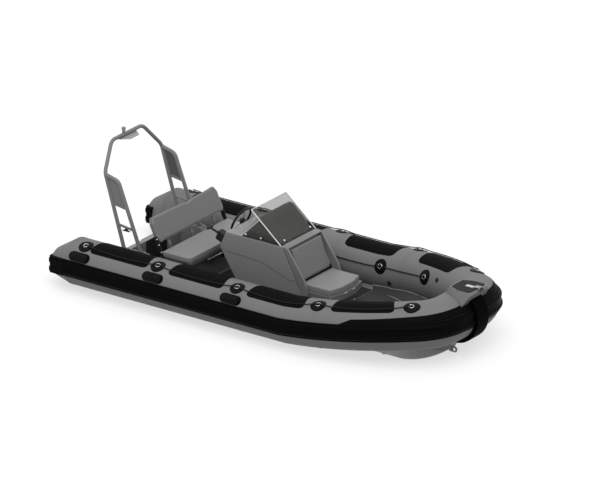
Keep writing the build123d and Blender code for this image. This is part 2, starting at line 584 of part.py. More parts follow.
# ---------------------------------------------------------------- bench
BENCH_HALF, BENCH_AFT, BENCH_FORE = 620.0, -1362.0, -962.0
BENCH_Z, BENCH_T, BENCH_LID_T = 540.0, 66.0, 12.0
box_top = BENCH_Z - BENCH_T - BENCH_LID_T - 2 * SKIN_GAP
BOX_AFT, BOX_FORE, BOX_HALF, BOX_WALL = -1340.0, -1060.0, 560.0, 5.0
bench_box = block(BOX_AFT, BOX_FORE, -BOX_HALF, BOX_HALF, DECK_Z, box_top)
bench_box -= block(BOX_AFT + BOX_WALL, BOX_FORE - BOX_WALL, -BOX_HALF + BOX_WALL, BOX_HALF - BOX_WALL,
                   DECK_Z + BOX_WALL, box_top + 10)
shelf = block(BOX_FORE, BENCH_FORE - 20, -BOX_HALF, BOX_HALF, box_top - 30, box_top)
bench_box += shelf
for half in tube_space:
    bench_box -= half
node("bench_box", bench_box)
LID_HALF = 600.0
node("bench_lid", block(BENCH_AFT + 10, BENCH_FORE - 10, -LID_HALF, LID_HALF, box_top + SKIN_GAP,
                        box_top + SKIN_GAP + BENCH_LID_T))
seat_low = BENCH_Z - BENCH_T
CORNER = 45.0
bench_plan = Polyline((BENCH_AFT, -BENCH_HALF), (BENCH_FORE - CORNER, -BENCH_HALF), (BENCH_FORE, -BENCH_HALF + CORNER),
                      (BENCH_FORE, BENCH_HALF - CORNER), (BENCH_FORE - CORNER, BENCH_HALF), (BENCH_AFT, BENCH_HALF),
                      close=True)
bench_cushion = Pos(0, 0, seat_low) * extrude(make_face(bench_plan), amount=BENCH_T)
node("bench_cushion", fillet(bench_cushion.edges().group_by(Axis.Z)[-1], 14.0))

# backrest: a thick leaning pad on struts from the box and a bracket at each end
REST_LEAN = 0.50                    # run aft for each unit of rise
REST_LOW, REST_HIGH = 632.0, 905.0
REST_X, REST_T = -1375.0, 64.0
fall = (1 + REST_LEAN ** 2) ** 0.5
rest_points = [(REST_X - (z - REST_LOW) * REST_LEAN - d / fall, z - d * REST_LEAN / fall)
               for z, d in ((REST_LOW, 0), (REST_HIGH, 0), (REST_HIGH, REST_T), (REST_LOW, REST_T))]
backrest = slab(rest_points, BENCH_HALF)
END_CUT = 60.0
for side in (-1, 1):
    for z, spin in ((REST_HIGH, 1), (REST_LOW, -1)):
        mid = (REST_X - (z - REST_LOW) * REST_LEAN - REST_T / 2, side * BENCH_HALF, z - REST_T * REST_LEAN / 2 / fall)
        backrest -= Pos(*mid) * Rot(45, 0, 0) * Box(400.0, END_CUT, END_CUT)
node("backrest", backrest)

STRUT_W, STRUT_T = 40.0, 8.0
STRUT_YS = (-420.0, 0.0, 420.0)
strut_x = BOX_AFT - STRUT_T - SKIN_GAP
struts = []
for y in STRUT_YS:
    reach = [(BOX_AFT, 300.0), (BOX_AFT - STRUT_T, 300.0), (BOX_AFT - STRUT_T - 50, 560.0),
             (REST_X - REST_T / fall - (820 - REST_LOW) * REST_LEAN - 2, 820.0 - REST_T * REST_LEAN / fall),
             (REST_X - REST_T / fall - (820 - REST_LOW) * REST_LEAN + 6, 820.0 - REST_T * REST_LEAN / fall),
             (BOX_AFT - 42, 560.0)]
    struts.append(slab(reach, STRUT_W / 2, y) - backrest)
node("backrest_struts", *[max(strut.solids(), key=lambda solid: solid.volume) for strut in struts])

# ---------------------------------------------------------------- arch
ARCH_R = 22.0                       # tube radius
FOOT_T = 8.0
ARCH_LEAN = 0.30                    # run aft for each unit of rise
ARCH_Y = 529.0
AFT_FOOT_X = TRANSOM_X + 6.0
foot_z = TRANSOM_TOP + FOOT_T
KNUCKLE_Z, SHOULDER_Z, SHOULDER_Y = 1262.0, 1548.0, 288.0
FRONT_LEAN = 0.385
FRONT_FOOT_X = transom_in + KNEE_L - 120.0
FRONT_TOP_Z = 1195.0
RUNG_Z, WEB_LOW = 665.0, 900.0
GUSSET = 105.0                      # reach of the curved gusset ahead of the front foot


def aft_leg(z):
    return AFT_FOOT_X - (z - foot_z) * ARCH_LEAN


def front_leg(z):
    return FRONT_FOOT_X - (z - foot_z) * FRONT_LEAN


def pipe(points, radii):
    line = FilletPolyline(*points, radius=radii)
    start = Plane(origin=line @ 0, z_dir=line % 0)
    return sweep(start * Circle(ARCH_R), path=line)


hoop = pipe([(aft_leg(foot_z), -ARCH_Y, foot_z), (aft_leg(KNUCKLE_Z), -ARCH_Y, KNUCKLE_Z),
             (aft_leg(SHOULDER_Z), -SHOULDER_Y, SHOULDER_Z), (aft_leg(SHOULDER_Z), SHOULDER_Y, SHOULDER_Z),
             (aft_leg(KNUCKLE_Z), ARCH_Y, KNUCKLE_Z), (aft_leg(foot_z), ARCH_Y, foot_z)], [130.0] * 4)
arch = hoop
for side in (-1, 1):
    y = side * ARCH_Y
    front = pipe([(front_leg(foot_z), y, foot_z), (front_leg(FRONT_TOP_Z), y, FRONT_TOP_Z),
                  (aft_leg(FRONT_TOP_Z + 45), y, FRONT_TOP_Z + 45)], [90.0])
    arch += front
    rung = [(aft_leg(RUNG_Z), RUNG_Z + 26), (front_leg(RUNG_Z), RUNG_Z),
            (front_leg(RUNG_Z), RUNG_Z - 22), (aft_leg(RUNG_Z), RUNG_Z + 4)]
    arch += slab(rung, 10.0, y)
    web = [(aft_leg(WEB_LOW), WEB_LOW), (front_leg(WEB_LOW), WEB_LOW - 28), (front_leg(FRONT_TOP_Z - 30), FRONT_TOP_Z - 30),
           (aft_leg(FRONT_TOP_Z + 20), FRONT_TOP_Z + 20)]
    arch += slab(web, 3.0, y)
    gusset = make_face([Polyline((FRONT_FOOT_X + GUSSET, foot_z), (FRONT_FOOT_X, foot_z), (front_leg(foot_z + GUSSET), foot_z + GUSSET)),
                        ThreePointArc((front_leg(foot_z + GUSSET), foot_z + GUSSET),
                                      (FRONT_FOOT_X + 0.18 * GUSSET, foot_z + 0.36 * GUSSET),
                                      (FRONT_FOOT_X + GUSSET, foot_z))])
    arch += Pos(0, y + 5.0, 0) * extrude(Plane.XZ * gusset, amount=10.0)
    for x in (AFT_FOOT_X, FRONT_FOOT_X):
        arch += block(x - 40, x + 40, y - 45, y + 45, TRANSOM_TOP, foot_z + 1)
arch -= block(-3000, 3000, -1000, 1000, -500, TRANSOM_TOP)
node("arch", max(arch.solids(), key=lambda solid: solid.volume))

# light plate under the hoop, and the all-round light on its stalk
PLATE_HALF, PLATE_T = 120.0, 5.0
top_x = aft_leg(SHOULDER_Z)
plate_z = SHOULDER_Z - ARCH_R - PLATE_T - SKIN_GAP
light_plan = Polyline((top_x - 40, -PLATE_HALF - 40), (top_x - 40, PLATE_HALF + 40), (top_x + 20, PLATE_HALF + 40),
                      (top_x + 110, PLATE_HALF - 40), (top_x + 110, -PLATE_HALF + 40), (top_x + 20, -PLATE_HALF - 40),
                      close=True)
node("light_plate", Pos(0, 0, plate_z) * extrude(make_face(light_plan), amount=PLATE_T))
LIGHT_Y = -62.0
stalk_z = SHOULDER_Z + ARCH_R - 1.0
light = Pos(top_x, LIGHT_Y, stalk_z + SKIN_GAP + 1) * Cylinder(16.0, 34.0, align=bottom_centre)
light += Pos(top_x, LIGHT_Y, stalk_z + 34.0) * Cylinder(26.0, 34.0, align=bottom_centre)
node("anchor_light", light)

os.makedirs("parts", exist_ok=True)
for name, shape in NODES.items():
    export_step(shape, f"parts/{name}.step")
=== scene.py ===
import bmesh
import bpy
from math import atan2, cos, degrees, pi, radians, sin, sqrt
from mathutils import Matrix, Vector
from mathutils.bvhtree import BVHTree


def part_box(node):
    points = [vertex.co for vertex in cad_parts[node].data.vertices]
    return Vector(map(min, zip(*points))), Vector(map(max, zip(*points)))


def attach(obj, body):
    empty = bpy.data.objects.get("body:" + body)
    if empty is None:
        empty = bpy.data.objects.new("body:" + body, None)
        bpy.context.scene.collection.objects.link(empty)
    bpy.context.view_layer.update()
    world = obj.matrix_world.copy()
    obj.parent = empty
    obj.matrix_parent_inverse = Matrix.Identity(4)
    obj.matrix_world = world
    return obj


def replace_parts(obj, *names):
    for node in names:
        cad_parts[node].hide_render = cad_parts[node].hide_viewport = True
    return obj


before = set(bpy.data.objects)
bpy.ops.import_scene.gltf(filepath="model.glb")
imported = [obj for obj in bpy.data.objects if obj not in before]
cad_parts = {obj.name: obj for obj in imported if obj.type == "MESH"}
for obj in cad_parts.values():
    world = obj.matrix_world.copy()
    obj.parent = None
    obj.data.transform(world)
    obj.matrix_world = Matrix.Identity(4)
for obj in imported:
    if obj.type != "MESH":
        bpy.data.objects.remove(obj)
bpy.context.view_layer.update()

# ------------------------------------------------------------------ camera
# A long lens, ahead of the starboard bow and a little above the boat.
CAMERA_AZIMUTH, CAMERA_HEIGHT = radians(35.6), radians(22.25)
CAMERA_AWAY, CAMERA_LENS = 100.0, 550.4
CAMERA_AIM = Vector((0.158, 0.0, 0.516))
CAMERA_LEFT, CAMERA_UP = 0.1086, 0.1585
right = Vector((cos(CAMERA_AZIMUTH), sin(CAMERA_AZIMUTH), 0.0))
forward = Vector((-sin(CAMERA_AZIMUTH) * cos(CAMERA_HEIGHT), cos(CAMERA_AZIMUTH) * cos(CAMERA_HEIGHT),
                  -sin(CAMERA_HEIGHT)))
above = right.cross(forward)
camera_data = bpy.data.cameras.new("camera")
camera_data.lens, camera_data.sensor_width, camera_data.clip_end = CAMERA_LENS, 36.0, 400.0
camera = bpy.data.objects.new("camera", camera_data)
bpy.context.collection.objects.link(camera)
place = CAMERA_AIM - forward * CAMERA_AWAY - right * CAMERA_LEFT + above * CAMERA_UP
camera.matrix_world = Matrix.Translation(place) @ Matrix((right, above, -forward)).transposed().to_4x4()
bpy.context.scene.camera = camera

# ------------------------------------------------------------------ studio
# A pale floor at the waterline, thin enough to show the hull under it, below a plain white sky.
# The sky lights the boat more from above than from below, and one wide lamp gives soft shadows.
SKY = ((0.35, 0.30), (0.5, 0.42), (1.0, 0.62))          # share of the way up from straight below, strength
LAMP_POWER, LAMP_SPREAD, LAMP_FROM = 1.55, 50.0, Vector((0.35, -0.45, 1.0))
FLOOR_COLOUR, FLOOR_VEIL, FLOOR_HALF = 0.93, 0.36, 30.0


def empty_tree(owner):
    """The shader tree of a world or a material, cleared of its nodes."""
    owner.use_nodes = True
    owner.node_tree.nodes.clear()
    return owner.node_tree


def join(tree, *pairs):
    """Links each output to its input."""
    for source, target in pairs:
        tree.links.new(source, target)


bpy.context.scene.view_settings.view_transform = "Standard"
world = bpy.data.worlds.new("studio")
bpy.context.scene.world = world
tree = empty_tree(world)
output = tree.nodes.new("ShaderNodeOutputWorld")
seen, lit = tree.nodes.new("ShaderNodeBackground"), tree.nodes.new("ShaderNodeBackground")
seen.inputs["Color"].default_value = lit.inputs["Color"].default_value = (1, 1, 1, 1)
spot, parts = tree.nodes.new("ShaderNodeTexCoord"), tree.nodes.new("ShaderNodeSeparateXYZ")
ramp, remap = tree.nodes.new("ShaderNodeValToRGB"), tree.nodes.new("ShaderNodeMapRange")
remap.inputs["From Min"].default_value = -1.0
for stop, level in SKY:
    mark = ramp.color_ramp.elements.new(stop)
    mark.color = (level, level, level, 1)
for spare in (0, -1):
    ramp.color_ramp.elements.remove(ramp.color_ramp.elements[spare])
path, blend = tree.nodes.new("ShaderNodeLightPath"), tree.nodes.new("ShaderNodeMixShader")
either, any_ray = tree.nodes.new("ShaderNodeMath"), tree.nodes.new("ShaderNodeMath")
either.operation = any_ray.operation = "MAXIMUM"
join(tree, (spot.outputs["Generated"], parts.inputs[0]), (parts.outputs["Z"], remap.inputs["Value"]),
     (remap.outputs["Result"], ramp.inputs["Fac"]), (ramp.outputs["Color"], lit.inputs["Strength"]),
     (path.outputs["Is Camera Ray"], either.inputs[0]), (path.outputs["Is Glossy Ray"], either.inputs[1]),
     (either.outputs[0], any_ray.inputs[0]), (path.outputs["Is Transmission Ray"], any_ray.inputs[1]),
     (any_ray.outputs[0], blend.inputs["Fac"]), (lit.outputs[0], blend.inputs[1]),
     (seen.outputs[0], blend.inputs[2]), (blend.outputs[0], output.inputs["Surface"]))

lamp = bpy.data.lights.new("wide_lamp", "SUN")
lamp.energy, lamp.angle = LAMP_POWER, radians(LAMP_SPREAD)
lamp_object = bpy.data.objects.new("wide_lamp", lamp)
bpy.context.collection.objects.link(lamp_object)
lamp_object.rotation_euler = LAMP_FROM.to_track_quat("Z", "Y").to_euler()

floor_mesh = bpy.data.meshes.new("floor")
floor_mesh.from_pydata([(FLOOR_HALF * x, FLOOR_HALF * y, 0) for x, y in ((-1, -1), (1, -1), (1, 1), (-1, 1))],
                       [], [(0, 1, 2, 3)])
floor = bpy.data.objects.new("floor", floor_mesh)
bpy.context.collection.objects.link(floor)
pale = bpy.data.materials.new("pale_floor")
tree = empty_tree(pale)
output, blend = tree.nodes.new("ShaderNodeOutputMaterial"), tree.nodes.new("ShaderNodeMixShader")
through, veil = tree.nodes.new("ShaderNodeBsdfTransparent"), tree.nodes.new("ShaderNodeBsdfDiffuse")
veil.inputs["Color"].default_value = (FLOOR_COLOUR, FLOOR_COLOUR, FLOOR_COLOUR, 1)
blend.inputs["Fac"].default_value = FLOOR_VEIL
join(tree, (through.outputs[0], blend.inputs[1]), (veil.outputs[0], blend.inputs[2]),
     (blend.outputs[0], output.inputs["Surface"]))
floor_mesh.materials.append(pale)

# ------------------------------------------------------------------ finishes
# Every finish on the boat is one of these shaders: a base that varies a little over the surface,
# and a fine relief of its own, woven, pebbled or ribbed, from two node groups.
FLOAT, COLOUR = "NodeSocketFloat", "NodeSocketColor"
ROUGH_SWING = 0.06                                    # how far a finish's roughness strays either way


def new_group(name, inputs, outputs):
    """An empty shader group with named inputs, each with its value, and named outputs."""
    group = bpy.data.node_groups.new(name, "ShaderNodeTree")
    for label, kind, value in inputs:
        socket = group.interface.new_socket(label, in_out="INPUT", socket_type=kind)
        socket.default_value = value
    for label, kind in outputs:
        group.interface.new_socket(label, in_out="OUTPUT", socket_type=kind)
    return group, group.nodes.new("NodeGroupInput"), group.nodes.new("NodeGroupOutput")


mottle, start, end = new_group("mottle", (("Color", COLOUR, (0.5, 0.5, 0.5, 1)), ("Amount", FLOAT, 0.1),
                                          ("Scale", FLOAT, 4.0)), (("Color", COLOUR), ("Mask", FLOAT)))
where, cloud = mottle.nodes.new("ShaderNodeTexCoord"), mottle.nodes.new("ShaderNodeTexNoise")
cloud.inputs["Detail"].default_value = 4.0
swing, share = mottle.nodes.new("ShaderNodeMath"), mottle.nodes.new("ShaderNodeMath")
swing.operation, share.operation = "SUBTRACT", "MULTIPLY_ADD"
swing.inputs[1].default_value, share.inputs[2].default_value = 0.5, 1.0
tint = mottle.nodes.new("ShaderNodeVectorMath")
tint.operation = "SCALE"
join(mottle, (where.outputs["Object"], cloud.inputs["Vector"]), (start.outputs["Scale"], cloud.inputs["Scale"]),
     (cloud.outputs["Fac"], swing.inputs[0]), (swing.outputs[0], share.inputs[0]),
     (start.outputs["Amount"], share.inputs[1]), (start.outputs["Color"], tint.inputs[0]),
     (share.outputs[0], tint.inputs["Scale"]), (tint.outputs[0], end.inputs["Color"]),
     (cloud.outputs["Fac"], end.inputs["Mask"]))

relief, start, end = new_group("relief", (("Pebble Scale", FLOAT, 400.0), ("Pebble", FLOAT, 1.0),
                                          ("Rib Scale", FLOAT, 60.0), ("Rib", FLOAT, 0.0)), (("Height", FLOAT),))
where, pebbles = relief.nodes.new("ShaderNodeTexCoord"), relief.nodes.new("ShaderNodeTexVoronoi")
pebbles.feature = "SMOOTH_F1"
pebble_share, crossed, height = [relief.nodes.new("ShaderNodeMath") for _ in range(3)]
pebble_share.operation, crossed.operation, height.operation = "MULTIPLY", "MAXIMUM", "MULTIPLY_ADD"
for number, axis in enumerate(("DIAGONAL", "X")):
    wave = relief.nodes.new("ShaderNodeTexWave")
    wave.bands_direction = axis
    join(relief, (where.outputs["Object"], wave.inputs["Vector"]), (start.outputs["Rib Scale"], wave.inputs["Scale"]),
         (wave.outputs["Fac"], crossed.inputs[number]))
join(relief, (where.outputs["Object"], pebbles.inputs["Vector"]),
     (start.outputs["Pebble Scale"], pebbles.inputs["Scale"]), (pebbles.outputs["Distance"], pebble_share.inputs[0]),
     (start.outputs["Pebble"], pebble_share.inputs[1]), (crossed.outputs[0], height.inputs[0]),
     (start.outputs["Rib"], height.inputs[1]), (pebble_share.outputs[0], height.inputs[2]),
     (height.outputs[0], end.inputs["Height"]))


def mottled(name, colour, vary, vary_scale, smoothest, roughest):
    """A new material whose colour and roughness vary a little over the surface."""
    material = bpy.data.materials.new(name)
    material.use_nodes = True
    tree = material.node_tree
    shader = tree.nodes["Principled BSDF"]
    base, spread = tree.nodes.new("ShaderNodeGroup"), tree.nodes.new("ShaderNodeMapRange")
    base.node_tree = mottle
    for label, value in (("Color", colour), ("Amount", vary), ("Scale", vary_scale)):
        base.inputs[label].default_value = value
    spread.inputs["To Min"].default_value, spread.inputs["To Max"].default_value = smoothest, roughest
    join(tree, (base.outputs["Color"], shader.inputs["Base Color"]), (base.outputs["Mask"], spread.inputs["Value"]),
         (spread.outputs["Result"], shader.inputs["Roughness"]))
    return material, tree, shader


def finish(name, shade, roughness, vary=0.05, vary_scale=3.0, pebble=500.0, depth=0.0001, rib=0.0, rib_scale=60.0,
           metal=0.0, gloss=0.3, sheen=0.0):
    """One surface finish: a grey shade, its roughness, and how it varies and stands in relief."""
    material, tree, shader = mottled(name, (shade, shade * 1.01, shade, 1), vary, vary_scale,
                                     roughness - ROUGH_SWING, roughness + ROUGH_SWING)
    for label, value in (("Metallic", metal), ("Specular IOR Level", gloss), ("Sheen Weight", sheen)):
        shader.inputs[label].default_value = value
    shape, bump = tree.nodes.new("ShaderNodeGroup"), tree.nodes.new("ShaderNodeBump")
    shape.node_tree = relief
    for label, value in (("Pebble Scale", pebble), ("Rib", rib), ("Rib Scale", rib_scale)):
        shape.inputs[label].default_value = value
    bump.inputs["Distance"].default_value = depth
    join(tree, (shape.outputs["Height"], bump.inputs["Height"]), (bump.outputs["Normal"], shader.inputs["Normal"]))
    return material


def dress(material, *nodes):
    """Gives CAD pieces a finish; their shapes stay as they are."""
    for name in nodes:
        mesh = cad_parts[name].data
        mesh.materials.clear()
        mesh.materials.append(material)


def piece(name, points, faces, material, body="boat", angle=35.0):
    """A new mesh piece that rides on a body and takes its finish from a slot."""
    mesh = bpy.data.meshes.new(name)
    mesh.from_pydata([tuple(point) for point in points], [], faces)
    mesh.materials.append(material)
    thing = bpy.data.objects.new(name, mesh)
    bpy.context.collection.objects.link(thing)
    form = bmesh.new()
    form.from_mesh(mesh)
    bmesh.ops.recalc_face_normals(form, faces=form.faces)
    form.to_mesh(mesh)
    form.free()
    mesh.shade_smooth()
    mesh.set_sharp_from_angle(angle=radians(angle))
    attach(thing, body)
    return thing


# ------------------------------------------------------------------ air tubes
# Three chambers of coated fabric, welded from panels, that carry the boat and fend it off.
# The fabric is matt light grey; a tape covers each ring seam where two panels meet.
TUBE_R, TUBE_Y, AXIS_Z = 0.270, 0.905, 0.300
CONE_X, SHEER_X, SHEER_R, SHEER = -2.310, 0.581, 1.000, radians(5.9)
BOW_TURNS = ((2.700, radians(31.0)), (0.340, radians(85.0)))     # radius, heading at its end
EAST, NORTH, UP = Vector((1, 0, 0)), Vector((0, 1, 0)), Vector((0, 0, 1))
fabric = finish("tube_fabric", 0.150, 0.62, vary=0.10, vary_scale=2.5, pebble=900.0, depth=0.00012, rib=0.4,
                rib_scale=500.0, gloss=0.28)
dress(fabric, "tube_starboard", "tube_port", "tube_bow")


def axis_legs():
    """The starboard tube's axis: start, length, radius, axis of turn, and the frame there."""
    legs = [(0.0, SHEER_X - CONE_X, None, "", Vector((CONE_X, -TUBE_Y, AXIS_Z)), EAST, -NORTH, UP)]
    heading = 0.0
    turns = [(SHEER_R, SHEER, "rise")]
    turns += [(radius, end - low, "turn") for (radius, end), low in zip(BOW_TURNS, (0.0, BOW_TURNS[0][1]))]
    for radius, sweep, kind in turns:
        travelled = legs[-1][0] + legs[-1][1]
        legs.append((travelled, radius * sweep, radius, kind, *axis_point(legs[-1], legs[-1][1])))
        heading += sweep if kind == "turn" else 0.0
    spot = axis_point(legs[-1], legs[-1][1])
    closing = -spot[0].y / cos(heading)
    legs.append((legs[-1][0] + legs[-1][1], closing * (pi / 2 - heading), closing, "turn", *spot))
    return legs


def axis_point(leg, travel):
    """Point, ahead, out and up at a distance along one leg."""
    _, _, radius, kind, spot, ahead, out, up = leg
    if radius is None:
        return spot + ahead * travel, ahead, out, up
    turn = travel / radius
    if kind == "rise":
        centre = spot + up * radius
        new_up = up * cos(turn) - ahead * sin(turn)
        return centre - new_up * radius, ahead * cos(turn) + up * sin(turn), out, new_up
    centre = spot - out * radius
    new_out = out * cos(turn) + ahead * sin(turn)
    return centre + new_out * radius, ahead * cos(turn) - out * sin(turn), new_out, up


LEGS = axis_legs()
BOW_S = LEGS[-1][0] + LEGS[-1][1]
SIDES = (("starboard", -1), ("port", 1))
SKIN_EDGE, SKIN_LIFT = 0.45, 0.0006                   # share of the thickness left at an edge, height of the underside


def on_tube(s, angle, rise=0.0, side=-1):
    """Point and outward normal on the tube; angle 0 is outboard, 90 up."""
    leg = [leg for leg in LEGS if leg[0] <= max(s, 0.0)][-1]
    spot, ahead, out, up = axis_point(leg, s - leg[0])
    normal = out * cos(radians(angle)) + up * sin(radians(angle))
    point = spot + normal * (TUBE_R + rise)
    flip = Vector((1, -side, 1))
    return point * flip, normal * flip


def skin(name, rows, thickness, material, side):
    """A rubber or fabric sheet glued on a tube: rows of (station, angle), its edge thinned down."""
    count, wide = len(rows), len(rows[0])
    layer = count * wide
    points, faces = [], []
    for top in (1, 0):
        for i, row in enumerate(rows):
            for j, (s, angle) in enumerate(row):
                rim = i in (0, count - 1) or j in (0, wide - 1)
                rise = thickness * (SKIN_EDGE if rim else 1.0) if top else SKIN_LIFT
                points.append(on_tube(s, angle, rise, side)[0])
    for a in [i * wide + j for i in range(count - 1) for j in range(wide - 1)]:
        faces += [(a, a + 1, a + wide + 1, a + wide),
                  (a + layer, a + wide + layer, a + wide + 1 + layer, a + 1 + layer)]
    edge = [*range(wide), *range(2 * wide - 1, layer, wide), *range(layer - 2, layer - wide - 1, -1),
            *range(layer - 2 * wide, 0, -wide)]
    faces += [(a, b, b + layer, a + layer) for a, b in zip(edge, edge[1:] + edge[:1])]
    return piece(name, points, faces, material, angle=50.0)


def patch_rows(s0, s1, low, high, corner, slope=0.0, turn=2.5):
    """Rows of a patch with round corners, as (station, angle); slope slants its two ends."""
    rows = []
    count = max(4, int((high - low) / turn))
    for i in range(count + 1):
        angle = low + (high - low) * i / count
        edge = radians(min(angle - low, high - angle)) * TUBE_R
        inset = corner - sqrt(max(0.0, corner ** 2 - (corner - edge) ** 2)) if edge < corner else 0.0
        slant = slope * (high - angle) / (high - low)
        a, b = s0 + inset + slant, s1 - inset - slant
        wide = max(6, int((s1 - s0) / PATCH_STEP))
        rows.append([(a + (b - a) * j / wide, angle) for j in range(wide + 1)])
    return rows


PATCH_STEP, TAPE_W, TAPE_T, TAPE_CORNER = 0.02, 0.045, 0.0016, 0.004
TAPES = (0.02, 1.115, 2.36, 3.36)                     # stations of the ring seams
TAPE_ARCS = ((26.0, 196.0), (-96.0, -24.0))           # angles that show either side of the strake
tape_fabric = finish("seam_tape", 0.142, 0.6, vary=0.08, pebble=700.0, depth=0.00012, gloss=0.28)
for side_name, side in SIDES:
    for ring, s in enumerate(TAPES):
        for arc, (low, high) in enumerate(TAPE_ARCS):
            rows = patch_rows(s - TAPE_W / 2, s + TAPE_W / 2, low, high, TAPE_CORNER, turn=4.0)
            skin(f"seam_tape_{side_name}_{ring}_{arc}", rows, TAPE_T, tape_fabric, side)

# ------------------------------------------------------------------ rubbing strakes and bow protection
# Extruded black rubber with two ridges, glued along the tubes' outer side and wrapped round the
# stern cones; wide sheet rubber covers the bow above it, and a moulded strap runs down the stem.
rubber = finish("strake_rubber", 0.0024, 0.42, vary=0.3, vary_scale=6.0, depth=0.0003, gloss=0.02)
dress(rubber, "strake_starboard", "strake_port", "strake_bow")
wrap_rubber = finish("wrap_rubber", 0.0030, 0.6, vary=0.3, vary_scale=6.0, depth=0.0003, gloss=0.01)
dress(wrap_rubber, "strake_wraps")
sheet_rubber = finish("wear_rubber", 0.0028, 0.5, vary=0.3, vary_scale=5.0, pebble=260.0, depth=0.0005,
                      gloss=0.02)
WEAR_LOW, WEAR_T, WEAR_AFT, WEAR_SLANT = 22.3, 0.004, 3.64, 0.13
WEAR_TOP = ((3.60, 33.3), (3.97, 36.0), (4.29, 39.0), (4.70, 43.0), (5.10, 45.0))     # station, upper angle


def wear_edge(s):
    """Angle of the wear patch's upper edge at a station."""
    (s0, low), (s1, high) = [pair for pair in zip(WEAR_TOP, WEAR_TOP[1:]) if pair[0][0] <= s][-1]
    return low + (high - low) * (s - s0) / (s1 - s0)


WEAR_ROWS, WEAR_COLUMNS = 10, 70
for side_name, side in SIDES:
    rows = []
    for i in range(WEAR_ROWS + 1):
        aft = WEAR_AFT + WEAR_SLANT * i / WEAR_ROWS
        stations = [aft + (BOW_S - aft) * j / WEAR_COLUMNS for j in range(WEAR_COLUMNS + 1)]
        rows.append([(s, WEAR_LOW + (wear_edge(s) - WEAR_LOW) * i / WEAR_ROWS) for s in stations])
    wear = skin(f"bow_wear_{side_name}", rows, WEAR_T, sheet_rubber, side)
    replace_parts(wear, "bow_wear_patch")
strap_rubber = finish("strap_rubber", 0.0016, 0.6, vary=0.3, pebble=350.0, depth=0.0004, gloss=0.01)
dress(strap_rubber, "bow_strap")

# ------------------------------------------------------------------ top patches
# Non-slip rubber sheets on top of the tubes, to sit and step on, with round corners and an
# embossed chequer; each is glued down all over.
TOP_PATCHES = ((0.320, 1.030), (1.400, 2.060), (2.465, 3.165), (3.565, 4.180))   # stations
PATCH_LOW, PATCH_HIGH, PATCH_T = 52.0, 125.0, 0.0040
PATCH_CORNER, PATCH_SLANT = 0.055, 0.045
patch_rubber = finish("patch_rubber", 0.0034, 0.66, vary=0.25, vary_scale=7.0, pebble=240.0, depth=0.0007,
                      rib=0.8, rib_scale=70.0, gloss=0.03)


def both_sides(items):
    """Each item once on each side: the ending of its name, the side, and the item."""
    return [(f"{side_name}_{number}", side, item) for side_name, side in SIDES for number, item in enumerate(items)]


for ending, side, (a, b) in both_sides(TOP_PATCHES):
    rows = patch_rows(a, b, PATCH_LOW, PATCH_HIGH, PATCH_CORNER, -PATCH_SLANT)
    patch = skin(f"top_patch_{ending}", rows, PATCH_T, patch_rubber, side)
    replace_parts(patch, "top_patches")

# ------------------------------------------------------------------ roundels, rings and handles
# Moulded rubber roundels on thin flanges carry a stainless D-ring each under a short webbing loop;
# the long moulded handles, flanged too, have a grip that stands off the tube. All are glued on.
OUTER_AT, OUTER_ROUNDELS = 68.0, (0.195, 1.190, 2.275, 3.365, 4.400)
INNER_AT, INNER_ROUNDELS = 154.0, (2.230, 3.045, 3.800)
ROUNDEL_T = 0.008
moulded = finish("moulded_rubber", 0.0026, 0.42, vary=0.25, vary_scale=9.0, pebble=380.0, depth=0.0003,
                 gloss=0.08)
dress(moulded, "roundels", "tube_handles")
stainless = finish("stainless", 0.62, 0.24, vary=0.06, vary_scale=30.0, pebble=900.0, depth=0.00005, metal=1.0,
                   gloss=0.5)
dress(stainless, "d_rings")
webbing = finish("webbing", 0.010, 0.75, vary=0.2, vary_scale=60.0, pebble=900.0, depth=0.0003, rib=1.0,
                 rib_scale=300.0, gloss=0.15)


def loft(name, rings, material, body="boat", angle=35.0, closed=False):
    """A piece skinned over rings of points; an open run gets a cap at each end."""
    count, sides = len(rings), len(rings[0])
    faces = []
    for k in range(count if closed else count - 1):
        low, high = k * sides, (k + 1) % count * sides
        faces += [(low + j, low + (j + 1) % sides, high + (j + 1) % sides, high + j) for j in range(sides)]
    if not closed:
        faces += [tuple(range(sides)), tuple(range((count - 1) * sides, count * sides))]
    return piece(name, [point for ring in rings for point in ring], faces, material, body, angle)


def moulding(name, s, angle, outline, heights, material, side):
    """A raised rubber piece on a tube: rings of an outline in metres about a point, each at a height."""
    rings = [[on_tube(s + x * scale, angle + degrees(y * scale / TUBE_R), rise, side)[0] for x, y in outline]
             for scale, rise in heights]
    return loft(name, rings, material, angle=40.0)


def slot_outline(long, wide, steps=8):
    """A round-ended slot's outline, in metres."""
    r, run = wide / 2, (long - wide) / 2
    turns = [(run, -90.0), (-run, 90.0)]
    return [(x + r * cos(radians(turn + 180.0 * k / steps)), r * sin(radians(turn + 180.0 * k / steps)))
            for x, turn in turns for k in range(steps + 1)]


FLANGE_R, FLANGE_T, FLANGE_STEPS, RING_PAD_AFT = 0.088, 0.0036, 40, 0.030
ROUND = [(FLANGE_R * cos(2 * pi * k / FLANGE_STEPS), FLANGE_R * sin(2 * pi * k / FLANGE_STEPS))
         for k in range(FLANGE_STEPS)]
HANDLES, HANDLE_AT, HANDLE_T = (0.187, 1.200, 2.265), 35.0, 0.024
RING_PAD, GRIP_OUTLINE, HANDLE_OUTLINE = [slot_outline(*size) for size in ((0.064, 0.040), (0.185, 0.050),
                                                                           (0.284, 0.112))]
